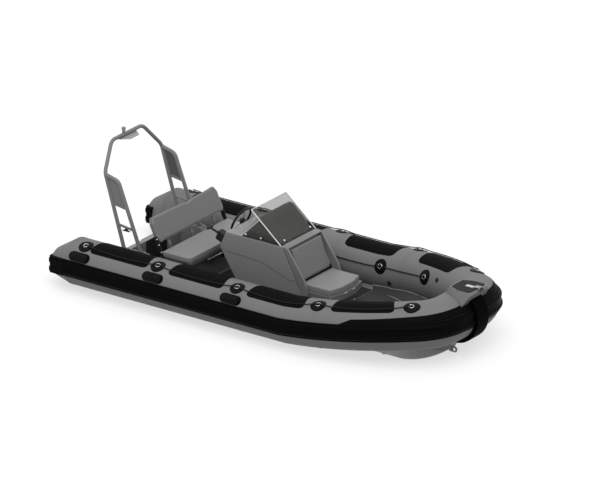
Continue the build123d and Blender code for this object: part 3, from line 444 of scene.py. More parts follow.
# Each profile is a row of rings: share of the outline, height over the tube.
BUTTON = [(size, ROUNDEL_T + rise) for size, rise in ((1.0, -0.001), (0.92, 0.004), (0.8, 0.006), (0.4, 0.006))]
GRIP = [(size, HANDLE_T + rise) for size, rise in ((1.0, -0.002), (0.97, 0.006), (0.88, 0.012), (0.7, 0.015),
                                                   (0.35, 0.016))]
FLANGE = ((1.0, SKIN_LIFT), (1.0, FLANGE_T * 0.5), (0.985, FLANGE_T), (0.5, FLANGE_T))
for kind, at, stations in (("", OUTER_AT, OUTER_ROUNDELS), ("inner_", INNER_AT, INNER_ROUNDELS)):
    for ending, side, s in both_sides(stations):
        moulding(f"{kind}ring_pad_{ending}", s - RING_PAD_AFT, at, RING_PAD, BUTTON, webbing, side)
        moulding(f"{kind}roundel_flange_{ending}", s, at, ROUND, FLANGE, moulded, side)
for ending, side, s in both_sides(HANDLES):
    moulding(f"handle_grip_{ending}", s, HANDLE_AT, GRIP_OUTLINE, GRIP, moulded, side)
    moulding(f"handle_flange_{ending}", s, HANDLE_AT, HANDLE_OUTLINE, FLANGE, moulded, side)

# ------------------------------------------------------------------ grab lines
# Black three-strand line, rove through the D-rings along both tubes, outside and inside; it
# lies along the tube between rings, a little slack.
ROPE_R, ROPE_RISE, ROPE_LIES, ROPE_LEAVES = 0.0065, 0.0235, 0.0118, 0.16
ROPE_STEP, ROPE_SIDES, ROPE_LAY, STRANDS, STRAND_DEPTH = 0.007, 10, 0.075, 3, 0.10
OUTER_SAG, INNER_SAG, SAG_POWER = 7.0, -3.0, 0.8      # degrees round the tube, how flat the hang is
rope_fibre = finish("rope_fibre", 0.012, 0.8, vary=0.3, vary_scale=150.0, pebble=1400.0, depth=0.0003,
                    gloss=0.15)


def circle(middle, across, along, radii):
    """Points round a middle in the plane of two unit vectors, each at its own radius."""
    turns = [2 * pi * j / len(radii) for j in range(len(radii))]
    return [middle + (across * cos(turn) + along * sin(turn)) * r for turn, r in zip(turns, radii)]


def laid_line(name, route, node):
    """A three-strand line along a route of points and side vectors, in place of its CAD node."""
    rings, travelled = [], 0.0
    for k, (point, normal) in enumerate(route):
        ahead = (route[min(k + 1, len(route) - 1)][0] - route[max(k - 1, 0)][0]).normalized()
        travelled += (point - route[max(k - 1, 0)][0]).length
        lay = 2 * pi * travelled / ROPE_LAY
        radii = [ROPE_R * (1 - STRAND_DEPTH + STRAND_DEPTH * cos(STRANDS * (2 * pi * j / ROPE_SIDES - lay)))
                 for j in range(ROPE_SIDES)]
        rings.append(circle(point, normal, ahead.cross(normal).normalized(), radii))
    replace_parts(loft(name, rings, rope_fibre, angle=80.0), node)


def line_route(stations, angle, sag, side):
    """Points and normals from ring to ring, hanging a little low between them."""
    route = []
    for a, b in zip(stations, stations[1:]):
        steps = int((b - a) / ROPE_STEP)
        for k in range(steps):
            t = k / steps
            near = min(1.0, min(t, 1 - t) * (b - a) / ROPE_LEAVES)
            rise = ROPE_RISE + (ROPE_LIES - ROPE_RISE) * near * near * (3 - 2 * near)
            route.append(on_tube(a + (b - a) * t, angle - sag * sin(pi * t) ** SAG_POWER, rise, side))
    route.append(on_tube(stations[-1], angle, ROPE_RISE, side))
    return route


for side_name, side in SIDES:
    for kind, stations, at, sag, node in (("grab", OUTER_ROUNDELS, OUTER_AT, OUTER_SAG, "grab_lines_outer"),
                                          ("inner", INNER_ROUNDELS, INNER_AT, INNER_SAG, "grab_lines_inner")):
        laid_line(f"{kind}_line_{side_name}", line_route(stations, at, sag, side), node)

# ------------------------------------------------------------------ inflation valves
# Screw-in valves of black plastic, one for each chamber and side, with a knurled cap on a
# flange that clamps the fabric.
VALVES = ((3.180, 192.0), (4.050, 150.0), (1.500, 150.0))       # station, angle
plastic = finish("black_plastic", 0.010, 0.42, vary=0.2, vary_scale=12.0, pebble=600.0, gloss=0.25)


def turned(name, base, axis, profile, material, body="boat", sides=28, knurl=0.0):
    """A turned piece: (radius, height) pairs along an axis from a base point."""
    axis = axis.normalized()
    across = axis.orthogonal().normalized()
    rings = [circle(base + axis * rise, across, axis.cross(across), [radius, radius * (1 + knurl)] * (sides // 2))
             for radius, rise in profile]
    return loft(name, rings, material, body, 40.0)


VALVE_PROFILE = ((0.0270, 0.0006), (0.0270, 0.0035), (0.0255, 0.0050), (0.0200, 0.0055), (0.0195, 0.0115),
                 (0.0180, 0.0123), (0.0080, 0.0123))
for ending, side, (s, angle) in both_sides(VALVES):
    point, normal = on_tube(s, angle, 0.0, side)
    valve = turned(f"valve_{ending}", point, normal, VALVE_PROFILE, plastic, knurl=0.03)
    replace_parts(valve, "valves")

# ------------------------------------------------------------------ hull and transom
# Welded aluminium plate, powder-coated light grey: a vee bottom with a chine flat, folded spray
# rails welded on it, and a small steel eye under the forefoot; plastic pads take the motor's clamp.
hull_paint = finish("hull_paint", 0.235, 0.42, vary=0.06, vary_scale=1.5, depth=0.00012, gloss=0.35)
dress(hull_paint, "hull", "transom", "transom_knees")
KEEL_Z, TRANSOM_X = -0.270, -1.950
CHINE = ((-1.950, 0.720, 0.040), (0.000, 0.720, 0.050), (0.900, 0.665, 0.080), (1.500, 0.480, 0.120))
CHINE_FLAT, CHINE_DROP = 0.055, 0.004


def bottom(x, share):
    """Point on the hull's bottom plate, a share of the way from keel to chine."""
    rows = [pair for pair in zip(CHINE, CHINE[1:]) if pair[0][0] <= x]
    (x0, y0, z0), (x1, y1, z1) = rows[-1]
    t = (x - x0) / (x1 - x0)
    wide = y0 + (y1 - y0) * t - CHINE_FLAT
    return Vector((x, share * wide, KEEL_Z + share * (z0 + (z1 - z0) * t - CHINE_DROP - KEEL_Z)))


RAIL_W, RAIL_H, RAIL_AFT, RAIL_STEPS, RAIL_TAPER = 0.034, 0.020, 0.004, 44, 6
RAIL_SECTION = ((0.0, -0.002), (RAIL_W, -0.002), (RAIL_W * 0.96, RAIL_H))     # out along the plate, down from it
RAILS = ((0.34, 1.15), (0.68, 0.95))                  # share of the way out, fore end
for ending, side, (share, fore) in both_sides(RAILS):
    rings = []
    for k in range(RAIL_STEPS + 1):
        x = TRANSOM_X + RAIL_AFT + (fore - TRANSOM_X) * k / RAIL_STEPS
        size = min(1.0, (RAIL_STEPS - k) / RAIL_TAPER + 0.05)
        root = bottom(x, share)
        out = (bottom(x, share + 0.05) - root).normalized()
        rings.append([(root + out * wide * size - UP * down * size) * Vector((1, side, 1))
                      for wide, down in RAIL_SECTION])
    loft(f"spray_rail_{ending}", rings, hull_paint, angle=25.0)

motor_plastic = finish("motor_pad_plastic", 0.020, 0.5, vary=0.15, pebble=300.0, depth=0.0002)
dress(motor_plastic, "motor_pads")
alloy = finish("bare_alloy", 0.56, 0.36, vary=0.08, vary_scale=20.0, pebble=800.0, metal=1.0, gloss=0.5)
dress(alloy, "stern_eyes")
dress(hull_paint, "bow_eye")
dark_steel = finish("dark_steel", 0.10, 0.4, vary=0.1, vary_scale=40.0, pebble=800.0, metal=1.0, gloss=0.5)


def ring_piece(name, middle, normal, radius, wire, material, steps=36, sides=12):
    """A round ring of bar about a middle point."""
    across = normal.orthogonal().normalized()
    rings = [circle(middle + out * radius, out, normal, [wire] * sides)
             for out in circle(Vector(), across, normal.cross(across).normalized(), [1.0] * steps)]
    return loft(name, rings, material, angle=60.0, closed=True)


KEEL_EYE, KEEL_EYE_R, KEEL_EYE_WIRE = Vector((1.25, -0.03, -0.246)), 0.016, 0.0045
ring_piece("keel_eye", KEEL_EYE, NORTH, KEEL_EYE_R, KEEL_EYE_WIRE, dark_steel)

# ------------------------------------------------------------------ deck
# Painted plate deck with glued dark non-slip mats that leave a lighter border along the sides. Thin
# linings cover the cockpit's flared sides up to the tubes, under a bright trim; their dark grey is
# painted shade, as falls under the tubes' inner sides. The bow step has a mat of its own.
MATTING = dict(vary=0.15, vary_scale=8.0, pebble=300.0)
RIBBED = dict(depth=0.0006, rib=1.0, rib_scale=45.0, **MATTING)
deck_mat = finish("deck_mat", 0.024, 0.7, gloss=0.14, **RIBBED)
fore_deck_mat = finish("fore_deck_mat", 0.044, 0.7, gloss=0.14, **RIBBED)
step_mat = finish("step_mat", 0.017, 0.75, gloss=0.2, **RIBBED)
dress(step_mat, "bow_step_mat")
MAT_LOW, MAT_TOP, MAT_ROUND = 0.1202, 0.1242, 0.0012
FORE_MAT = ((0.620, 0.672), (0.900, 0.612), (1.500, 0.428), (1.950, 0.205), (2.080, 0.120))      # x, half width
HELM_MAT = ((-1.040, 0.339), (-0.434, 0.339))
AFT_MAT = ((-1.870, 0.460), (-1.600, 0.460), (-1.600, 0.660), (-1.400, 0.660))
SIDE_MAT = ((-1.040, 0.345), (0.612, 0.345), (0.612, 0.672), (-1.040, 0.672))


def rounded(thing, width, segments=2):
    """Rounds a piece's edges."""
    bevel = thing.modifiers.new("round", "BEVEL")
    bevel.width, bevel.segments, bevel.limit_method = width, segments, "ANGLE"
    return thing


def mirrored(half):
    """A whole outline from the half at +y, from aft forward."""
    return [*half, *((x, -y) for x, y in reversed(half))]


mats = [("fore_mat", mirrored(FORE_MAT)), ("helm_mat", mirrored(HELM_MAT)), ("aft_mat", mirrored(AFT_MAT))]
mats += [(f"side_mat_{side_name}", [(x, side * y) for x, y in SIDE_MAT]) for side_name, side in SIDES]
for name, outline in mats:
    rings = [[Vector((x, y, z)) for x, y in outline] for z in (MAT_LOW, MAT_TOP)]
    mat = loft(name, rings, fore_deck_mat if name == "fore_mat" else deck_mat)
    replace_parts(rounded(mat, MAT_ROUND, 1), "deck_mats")

# Dark grey linings: painted shade, darkening the flared sides as the shade under the tubes' inner sides would.
lining_painted_shade = finish("shaded_side_lining", 0.062, 0.7, depth=0.0004, gloss=0.1, **MATTING)
trim_alloy = finish("deck_trim", 0.48, 0.4, vary=0.1, vary_scale=20.0, pebble=800.0, gloss=0.4)
LINING = ((0.620, 0.651, 0.690), (0.900, 0.635, 0.690), (1.500, 0.450, 0.590), (1.950, 0.225, 0.450),
          (2.130, 0.112, 0.223))                      # x, half width at the deck and at the side's top
LINING_LOW, LINING_TOP, LINING_RUNS, LINING_SHARE = 0.1215, 0.280, 60, 0.02
LINING_LIFT, TRIM_R, AXIS_STEPS = 0.003, 0.0045, 40
LINING_BACK = Vector((0, -LINING_LIFT, -0.001))
AXIS = [axis_point(leg, leg[1] * k / AXIS_STEPS)[0] for leg in LEGS for k in range(AXIS_STEPS + 1)]


def lining_point(x, share):
    """Point on the starboard side's lining, a share of the way up from the deck."""
    (x0, low0, top0), (x1, low1, top1) = [pair for pair in zip(LINING, LINING[1:]) if pair[0][0] <= x][-1]
    part = (x - x0) / (x1 - x0)
    low, top = low0 + (low1 - low0) * part, top0 + (top1 - top0) * part
    return Vector((x, -(low + (top - low) * share) + LINING_LIFT, LINING_LOW + (LINING_TOP - LINING_LOW) * share))


def rod(name, points, radius, material, sides=10):
    """A round bar through points."""
    rings = []
    for k, point in enumerate(points):
        ahead = (points[min(k + 1, len(points) - 1)] - points[max(k - 1, 0)]).normalized()
        across = ahead.cross(UP if abs(ahead.z) < 0.9 else NORTH).normalized()
        rings.append(circle(point, across, across.cross(ahead), [radius] * sides))
    return loft(name, rings, material, angle=60.0)


for side_name, side in SIDES:
    rings = []
    for k in range(LINING_RUNS + 1):
        x = LINING[0][0] + (LINING[-1][0] - LINING[0][0]) * k / LINING_RUNS
        share = 0.0
        while share < 1.0 and min((lining_point(x, share) - spot).length for spot in AXIS) > TUBE_R + 0.001:
            share += LINING_SHARE
        low, top = lining_point(x, 0.0), lining_point(x, share)
        rings.append([point * Vector((1, -side, 1)) for point in (low, top, top + LINING_BACK, low + LINING_BACK)])
    loft(f"shaded_side_lining_{side_name}", rings, lining_painted_shade)
    rod(f"deck_trim_{side_name}", [ring[1] for ring in rings], TRIM_R, trim_alloy, sides=6)

# ------------------------------------------------------------------ bow step
# A moulded grey step over the stem, set into the bow joint of the tubes, with an alloy chain guide
# and a plastic roller for the anchor line bolted on it.
step_gelcoat = finish("step_gelcoat", 0.150, 0.4, vary=0.07, gloss=0.35)
dress(step_gelcoat, "bow_step")
dress(stainless, "roller_cheeks")
dress(plastic, "bow_roller")

# ------------------------------------------------------------------ console
# A moulded grey console, glued and bolted to the deck, with a raised panel on each side, a cheek
# strip each side of the back cushion and a brow above it. Thin near-black strips along the cheeks'
# joints and under the back pad are painted shade in those gaps.
GELCOAT = dict(vary_scale=1.2, depth=0.00006, gloss=0.4)
gelcoat = finish("gelcoat", 0.158, 0.34, **GELCOAT)
side_gelcoat = finish("side_gelcoat", 0.200, 0.34, **GELCOAT)
dress(side_gelcoat, "console")
CONSOLE_HALF, CONSOLE_TOP, CONSOLE_FACE, FACE_SLOPE = 0.335, 0.842, 0.095, 0.524


def plate(name, outline, middle, thick, material, bevel=0.0012):
    """A flat plate from a side outline of (x, z), standing in a fore-and-aft plane."""
    rings = [[Vector((x, middle + side * thick / 2, z)) for x, z in outline] for side in (-1, 1)]
    thing = loft(name, rings, material)
    return rounded(thing, bevel) if bevel else thing


def face_x(z):
    """x of the console's raked front face at a height."""
    return CONSOLE_FACE + (CONSOLE_TOP - z) * FACE_SLOPE


PANEL_T, PANEL_SUNK = 0.006, 0.001
SIDE_PANEL = ((-0.680, 0.838), (-0.736, 0.640), (-0.700, 0.620), (-0.200, 0.600), (-0.130, 0.580), (0.190, 0.470),
              (0.272, 0.480), (0.092, 0.838))
CHEEK_IN, CHEEK_OUT = 0.3095, 0.3350
CHEEK = ((0.089, 0.8415), (0.150, 0.8405), (0.162, 0.8320), (0.388, 0.5060), (0.421, 0.4050), (0.428, 0.3000),
         (0.339, 0.3000), (0.339, 0.3760))
BROW = CHEEK[:3] + ((0.156, 0.8180), (0.106, 0.8180))
GAP_W, GAP_T, GAP_LOW, GAP_HIGH = 0.0045, 0.0016, 0.380, 0.834
SEAT_GAP_T, SEAT_GAP_LOW, SEAT_GAP_HIGH = 0.003, 0.436, 0.480
# Near-black strips, painted shade: they darken the gaps beside the cheeks and under the back pad.
painted_gap_shade = finish("seam_shadow", 0.006, 0.8, vary=0.12, gloss=0.05)


def face_strip(low, high, aft, fore):
    """Side outline of a strip on the raked face, from behind it to ahead of it."""
    return ((face_x(high) - aft, high), (face_x(high) + fore, high), (face_x(low) + fore, low),
            (face_x(low) - aft, low))


for side_name, side in SIDES:
    plate(f"side_panel_{side_name}", SIDE_PANEL, side * (CONSOLE_HALF + PANEL_T / 2 - PANEL_SUNK), PANEL_T,
          side_gelcoat, bevel=0.004)
    plate(f"cheek_{side_name}", CHEEK, side * (CHEEK_IN + CHEEK_OUT) / 2, CHEEK_OUT - CHEEK_IN, gelcoat,
          bevel=0.005)
    # A painted shade strip along the joint between cheek and side panel.
    plate(f"cheek_gap_shade_{side_name}", face_strip(GAP_LOW, GAP_HIGH, GAP_W, 0.0), side * (CHEEK_OUT + 0.0002), GAP_T,
          painted_gap_shade, bevel=0.0)
plate("brow", BROW, 0.0, 2 * CHEEK_IN, gelcoat, bevel=0.004)
# A painted shadow strip on the console's front face, under the back pad.
plate("seat_gap_shade", face_strip(SEAT_GAP_LOW, SEAT_GAP_HIGH, 0.0, SEAT_GAP_T), 0.0, 2 * CHEEK_IN, painted_gap_shade,
      bevel=0.0)

# ------------------------------------------------------------------ windscreen
# Grey-tinted acrylic, a raked front pane and two quarter panes with polished edges, held along
# the foot by dome-headed stainless screws. The pale rods along the edges stand for the polished edges
# and carry a painted highlight on the bent corners; the screw heads' near-white is a painted glint.
# A moulded hood closes the console's top behind it.
acrylic, tree, shader = mottled("tinted_acrylic", (0.45, 0.444, 0.437, 1), 0.03, 2.0, 0.02, 0.06)
for label, value in (("Transmission Weight", 1.0), ("IOR", 1.12), ("Specular IOR Level", 0.4)):
    shader.inputs[label].default_value = value
dress(acrylic, "windscreen")
# Pale rods for the panes' polished edges; their light grey is also a painted highlight on the bent corners.
edge_highlight_paint = finish("polished_edge_highlight", 0.60, 0.25, vary=0.1, vary_scale=10.0, pebble=900.0, depth=0.00005,
                     gloss=0.6)
# Near-white dome heads, not metal: a painted glint on the stainless screws.
screw_head_glint = finish("screw_head_glint", 0.85, 0.3, pebble=900.0, depth=0.00002, gloss=0.8)
hood_gelcoat = finish("hood_gelcoat", 0.270, 0.4, vary_scale=1.2, depth=0.00006)
SCREEN_FOOT, SCREEN_TOP = Vector((0.072, 0.0, 0.842)), Vector((-0.330, 0.0, 1.182))
QUARTER_AFT, QUARTER_UP = Vector((-0.472, 0.0, 0.842)), 0.72
SCREEN_HALF, EDGE_IN, EDGE_AFT, EDGE_R = 0.330, 0.003, Vector((-0.004, 0, 0)), 0.0070
SCREW_PROFILE = ((0.011, -0.001), (0.011, 0.002), (0.008, 0.0055), (0.003, 0.007))        # radius, height
PANE_SCREWS, QUARTER_SCREWS, PANE_SCREW_UP, QUARTER_SCREW_UP = (-0.22, 0.27), (-0.410, -0.205), 0.045, 0.032
HOOD_HALF = 0.306
DASH_HOOD = ((0.044, 0.841), (-0.236, 1.092), (-0.262, 1.096), (-0.288, 1.084), (-0.486, 0.841))
for side_name, side in SIDES:
    across = side * (SCREEN_HALF - EDGE_IN) * NORTH
    foot, top = SCREEN_FOOT + EDGE_AFT + across, SCREEN_TOP + EDGE_AFT + across
    rod(f"screen_edge_{side_name}", [foot, top], EDGE_R, edge_highlight_paint)
    rod(f"quarter_edge_{side_name}", [QUARTER_AFT + across, foot.lerp(top, QUARTER_UP)], EDGE_R * 0.7, edge_highlight_paint)
rod("screen_top_edge", [SCREEN_TOP + EDGE_AFT + side * SCREEN_HALF * NORTH for side in (-1, 1)], EDGE_R * 0.6,
    edge_highlight_paint)
plate("dash_hood", DASH_HOOD, 0.0, 2 * HOOD_HALF, hood_gelcoat, bevel=0.010)
screen_up = (SCREEN_TOP - SCREEN_FOOT).normalized()
for number, y in enumerate(PANE_SCREWS):
    turned(f"pane_screw_{number}", SCREEN_FOOT + y * NORTH + screen_up * PANE_SCREW_UP, NORTH.cross(screen_up),
           SCREW_PROFILE, screw_head_glint, sides=16)
for ending, side, x in both_sides(QUARTER_SCREWS):
    turned(f"quarter_screw_{ending}", Vector((x, side * SCREEN_HALF, CONSOLE_TOP + QUARTER_SCREW_UP)), side * NORTH,
           SCREW_PROFILE, screw_head_glint, sides=16)

# ------------------------------------------------------------------ helm
# A three-spoke wheel with a soft black rim, moulded grips and bright spokes, on a boss in the raked
# dash. Beside it are two round gauges, a row of rocker switches and the throttle's side-mount box.
DASH_HIGH, DASH_LOW = Vector((-0.678, 0.0, 0.842)), Vector((-0.761, 0.0, 0.652))
WHEEL_Y, WHEEL_UP, WHEEL_OFF, WHEEL_R, RIM_R = 0.080, 0.745, 0.078, 0.158, 0.0130
dash_up = (DASH_HIGH - DASH_LOW).normalized()
dash_out = Vector((-dash_up.z, 0.0, dash_up.x))
wheel_centre = DASH_LOW + (DASH_HIGH - DASH_LOW) * WHEEL_UP + NORTH * WHEEL_Y + dash_out * WHEEL_OFF
rim_black = finish("wheel_grip", 0.0060, 0.45, vary=0.2, vary_scale=20.0, pebble=900.0, depth=0.0002, gloss=0.2)
GRIP_WAVES, GRIP_DEPTH, RIM_STEPS, RIM_SIDES = 36, 0.07, 216, 14
down = dash_out.cross(NORTH)
rings = []
for k in range(RIM_STEPS):
    turn = 2 * pi * k / RIM_STEPS
    out = NORTH * cos(turn) + down * sin(turn)
    grip = GRIP_DEPTH * (1 + cos(GRIP_WAVES * turn))
    radii = [RIM_R * (1 - grip * max(0.0, -cos(2 * pi * j / RIM_SIDES))) for j in range(RIM_SIDES)]
    rings.append(circle(wheel_centre + out * WHEEL_R, out, dash_out, radii))
rim = loft("wheel_rim", rings, rim_black, "wheel", 60.0, closed=True)
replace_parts(rim, "steering_wheel")
HUB_BACK, HUB_R = 0.030, 0.038
HUB = ((0.0120, -HUB_BACK), (HUB_R, -HUB_BACK), (HUB_R, -0.006), (0.036, 0.002), (0.030, 0.006), (0.016, 0.009),
       (0.004, 0.0095))
hub = turned("wheel_hub", wheel_centre, dash_out, HUB, rim_black, "wheel", sides=36)
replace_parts(hub, "steering_wheel")
SPOKES, SPOKE_ROUND, SPOKE_BACK = 3, 0.0012, 0.8       # number, rounding, the back's width to the front's
SPOKE_ROWS = ((0.032, 0.017, -0.012, 0.0045), (0.070, 0.012, -0.012, 0.0040), (0.110, 0.011, -0.007, 0.0035),
              (0.150, 0.014, -0.001, 0.0035))         # distance out, half width, lift, half thickness
for number in range(SPOKES):
    turn = radians(360.0 / SPOKES * number - 90.0)
    out, side_way = NORTH * cos(turn) + down * sin(turn), down * cos(turn) - NORTH * sin(turn)
    rings = []
    for far, wide, lift, thick in SPOKE_ROWS:
        back = wide * SPOKE_BACK
        rings.append([wheel_centre + out * far + side_way * y + dash_out * (lift + z)
                      for y, z in ((-wide, -thick), (wide, -thick), (back, thick), (-back, thick))])
    spoke = loft(f"wheel_spoke_{number}", rings, stainless, "wheel")
    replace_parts(rounded(spoke, SPOKE_ROUND), "steering_wheel")
dress(plastic, "steering_boss", "throttle_box", "throttle_lever")


def dash_spot(y, up, off=0.0):
    """Point on the dash: y across, a distance up it, and a height off it."""
    return DASH_LOW + dash_up * up + NORTH * y + dash_out * off


def dash_slab(name, y, up, wide, high, thick, material, lift=0.0):
    """A flat rounded plate lying on the dash."""
    corners = ((-wide / 2, -high / 2), (wide / 2, -high / 2), (wide / 2, high / 2), (-wide / 2, high / 2))
    rings = [[dash_spot(y + dy, up + du, rise) for dy, du in corners] for rise in (lift - 0.0005, lift + thick)]
    rounded(loft(name, rings, material), thick * 0.4)


dash_black = finish("dash_panel", 0.012, 0.35, vary=0.1, pebble=700.0)
dial_face = finish("dial_face", 0.55, 0.4, vary=0.04, pebble=900.0, depth=0.00002, gloss=0.5)
DASH_PANEL_T = 0.004
DASH_PANELS = (("gauge_panel", -0.105, 0.112, 0.200, 0.100),
               ("switch_panel", 0.225, 0.120, 0.130, 0.070))      # y, way up the dash, width, height
for name, y, up, wide, high in DASH_PANELS:
    dash_slab(name, y, up, wide, high, DASH_PANEL_T, dash_black)
GAUGE_R, GAUGE_UP, GAUGES = 0.036, 0.115, (-0.150, -0.062)
BEZEL = ((GAUGE_R, 0.003), (GAUGE_R, 0.012), (GAUGE_R - 0.003, 0.014), (GAUGE_R - 0.006, 0.010))
DIAL = ((GAUGE_R - 0.006, 0.008), (GAUGE_R - 0.006, 0.0105), (0.002, 0.0106))
TICKS, TICK_FROM, TICK_TURN, TICK_IN, TICK_HALF, TICK_R, TICK_RISE = 9, -120.0, 30.0, 0.012, 0.003, 0.0006, 0.0109
NEEDLE_AT, NEEDLE_RISE, NEEDLE_R, NEEDLE_L = -100.0, 0.0122, 0.0008, GAUGE_R - 0.011


def dial_way(angle):
    """The way from a dial's middle to an angle on it, from straight up."""
    return NORTH * sin(radians(angle)) + dash_up * cos(radians(angle))


for number, y in enumerate(GAUGES):
    turned(f"gauge_bezel_{number}", dash_spot(y, GAUGE_UP), dash_out, BEZEL, stainless, sides=36)
    turned(f"gauge_face_{number}", dash_spot(y, GAUGE_UP), dash_out, DIAL, dial_face, sides=36)
    for tick in range(TICKS):
        out = dial_way(TICK_FROM + TICK_TURN * tick)
        middle = dash_spot(y, GAUGE_UP, TICK_RISE) + out * (GAUGE_R - TICK_IN)
        rod(f"gauge_tick_{number}_{tick}", [middle - out * TICK_HALF, middle + out * TICK_HALF], TICK_R, dash_black,
            sides=6)
    needle = dash_spot(y, GAUGE_UP, NEEDLE_RISE)
    rod(f"gauge_needle_{number}", [needle, needle + dial_way(NEEDLE_AT) * NEEDLE_L], NEEDLE_R, dash_black,
        sides=6)
ROCKERS, ROCKER_Y, ROCKER_STEP, ROCKER_UP, ROCKER_W, ROCKER_H, ROCKER_T = 4, 0.180, 0.030, 0.120, 0.018, 0.038, 0.005
for number in range(ROCKERS):
    dash_slab(f"rocker_{number}", ROCKER_Y + ROCKER_STEP * number, ROCKER_UP, ROCKER_W, ROCKER_H, ROCKER_T, plastic,
              lift=DASH_PANEL_T)

# ------------------------------------------------------------------ cushions
# Closed-cell foam under grey marine vinyl, sewn with a welt round the top panel: the front seat's
# pad, the console's back pad, the bench pad and the backrest. The upright back pad and backrest take
# a darker copy of the vinyl, painted shade, and a lighter welt, a painted highlight along their edges.
# Each is inflated a little by cloth simulation, so that it crowns between its seams.
VINYL = dict(vary_scale=5.0, pebble=700.0, depth=0.00025, sheen=0.05)
# The back pads' darker vinyl is painted shade on their upright faces; the cover is the same as the seats'.
vinyl, shaded_back_vinyl = finish("seat_vinyl", 0.190, 0.5, **VINYL), finish("shaded_back_vinyl", 0.142, 0.5, **VINYL)
welt_vinyl = finish("welt_vinyl", 0.160, 0.5, pebble=900.0)
# The back pads' lighter welt is a painted highlight along their top edges.
highlit_back_welt = finish("highlit_back_welt", 0.210, 0.5, pebble=900.0)
PAD_PRESSURE, PAD_FRAMES, PAD_SHRINK, PAD_SEAM, PAD_CAP, PAD_FLAT = 4.0, 20, 0.0035, 0.0015, 0.009, 0.004
PAD_STIFF, PAD_QUALITY, PAD_FILL = 40.0, 4, 0.95
WELT_R, WELT_STEP, WELT_SIDES, WELT_DROP = 0.0028, 0.012, 8, 0.35


def fenced(point, base, u, v, outline):
    """A point kept inside a pad's outline, drawn on the pad's own base plane."""
    x, y = (point - base).dot(u), (point - base).dot(v)
    shift_x = shift_y = 0.0
    for (ax, ay), (bx, by) in zip(outline, outline[1:] + outline[:1]):
        long = sqrt((bx - ax) ** 2 + (by - ay) ** 2)
        nx, ny = (by - ay) / long, -(bx - ax) / long
        over = (x + shift_x - ax) * nx + (y + shift_y - ay) * ny
        if over > 0.0:
            shift_x, shift_y = shift_x - nx * over, shift_y - ny * over
    return point + u * shift_x + v * shift_y


def inset(outline, by):
    """An anticlockwise convex outline drawn in by a distance."""
    shrunk = []
    for before, (x, y), after in zip(outline[-1:] + outline[:-1], outline, outline[1:] + outline[:1]):
        a, b = Vector((x - before[0], y - before[1])).normalized(), Vector((after[0] - x, after[1] - y)).normalized()
        bisect = Vector((-(a.y + b.y), a.x + b.x)) / (1 + a.dot(b))
        shrunk.append((x + bisect.x * by, y + bisect.y * by))
    return shrunk


def pad(name, base, u, v, outline, thick, round_off, voxel, node, body, cover, seam, dip=None):
    """A foam pad: an outline on a base plane, a thickness at each point, and a rounded top edge."""
    n = u.cross(v).normalized()
    rings = []
    for draw_in, drop, share in ((PAD_SHRINK, 0.0, 0.0), (PAD_SEAM, 0.0, 0.30), (PAD_SEAM, -round_off, 1.0),
                                 (round_off * 0.3, -round_off * 0.3, 1.0), (round_off, 0.0, 1.0)):
        rings.append([base + u * x + v * y + n * ((thick(x, y) - PAD_SHRINK) * share + drop)
                      for x, y in inset(outline, draw_in)])
    thing = loft(name, rings, cover, body, 180.0)
    remesh = thing.modifiers.new("voxels", "REMESH")
    remesh.mode, remesh.voxel_size, remesh.use_smooth_shade = "VOXEL", voxel, True
    bake_in(thing)
    rest = [vertex.co.copy() for vertex in thing.data.vertices]
    cloth = thing.modifiers.new("cloth", "CLOTH")
    cloth.settings.quality = PAD_QUALITY
    cloth.settings.use_pressure = True
    cloth.settings.uniform_pressure_force = PAD_PRESSURE
    cloth.settings.tension_stiffness = cloth.settings.compression_stiffness = PAD_STIFF
    cloth.settings.effector_weights.gravity = 0.0
    cloth.collision_settings.use_collision = False
    for step in range(1, PAD_FRAMES + 1):
        bpy.context.scene.frame_set(step)
    bake_in(thing)
    bpy.context.scene.frame_set(1)
    for vertex, old in zip(thing.data.vertices, rest):
        move = vertex.co - old
        if move.length > PAD_CAP:
            move = move * (PAD_CAP / move.length)
        now = fenced(old + move, base, u, v, outline)
        x, y, high = [(now - base).dot(way) for way in (u, v, n)]
        level = (old - base).dot(n)
        wanted = max(0.0, level) if level < PAD_FLAT else min(max(high, 0.0), thick(x, y))
        vertex.co = now + n * (wanted - high)
    smooth = thing.modifiers.new("subdivide", "SUBSURF")
    smooth.levels = smooth.render_levels = 1
    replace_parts(thing, node)
    tree = BVHTree.FromPolygons([vertex.co for vertex in thing.data.vertices],
                                [tuple(face.vertices) for face in thing.data.polygons])
    loop, route = inset(outline, round_off * WELT_DROP), []
    for (ax, ay), (bx, by) in zip(loop, loop[1:] + loop[:1]):
        steps = max(2, int(sqrt((bx - ax) ** 2 + (by - ay) ** 2) / WELT_STEP))
        for k in range(steps):
            x, y = ax + (bx - ax) * k / steps, ay + (by - ay) * k / steps
            start_at = base + u * x + v * y + n * (thick(x, y) - round_off * WELT_DROP)
            route.append(tree.find_nearest(start_at)[0])
    edging = welt(f"{name}_welt", route, body, seam)
    if dip:
        for mesh in (thing.data, edging.data):
            for vertex in mesh.vertices:
                vertex.co -= v * dip((vertex.co - base).dot(u), (vertex.co - base).dot(v))


def bake_in(thing):
    """Puts a piece's modifiers into its mesh."""
    bpy.context.view_layer.update()
    seen_now = thing.evaluated_get(bpy.context.evaluated_depsgraph_get())
    mesh = bpy.data.meshes.new_from_object(seen_now)
    thing.modifiers.clear()
    thing.data = mesh
    mesh.shade_smooth()


def welt(name, route, body, seam):
    """A closed sewn welt along a loop of points."""
    rings = []
    for k, point in enumerate(route):
        ahead = (route[(k + 1) % len(route)] - route[k - 1]).normalized()
        out = ahead.orthogonal().normalized() if abs(ahead.z) > 0.95 else ahead.cross(UP).normalized()
        rings.append(circle(point, out, ahead.cross(out), [WELT_R] * WELT_SIDES))
    return loft(name, rings, seam, body, 80.0, closed=True)


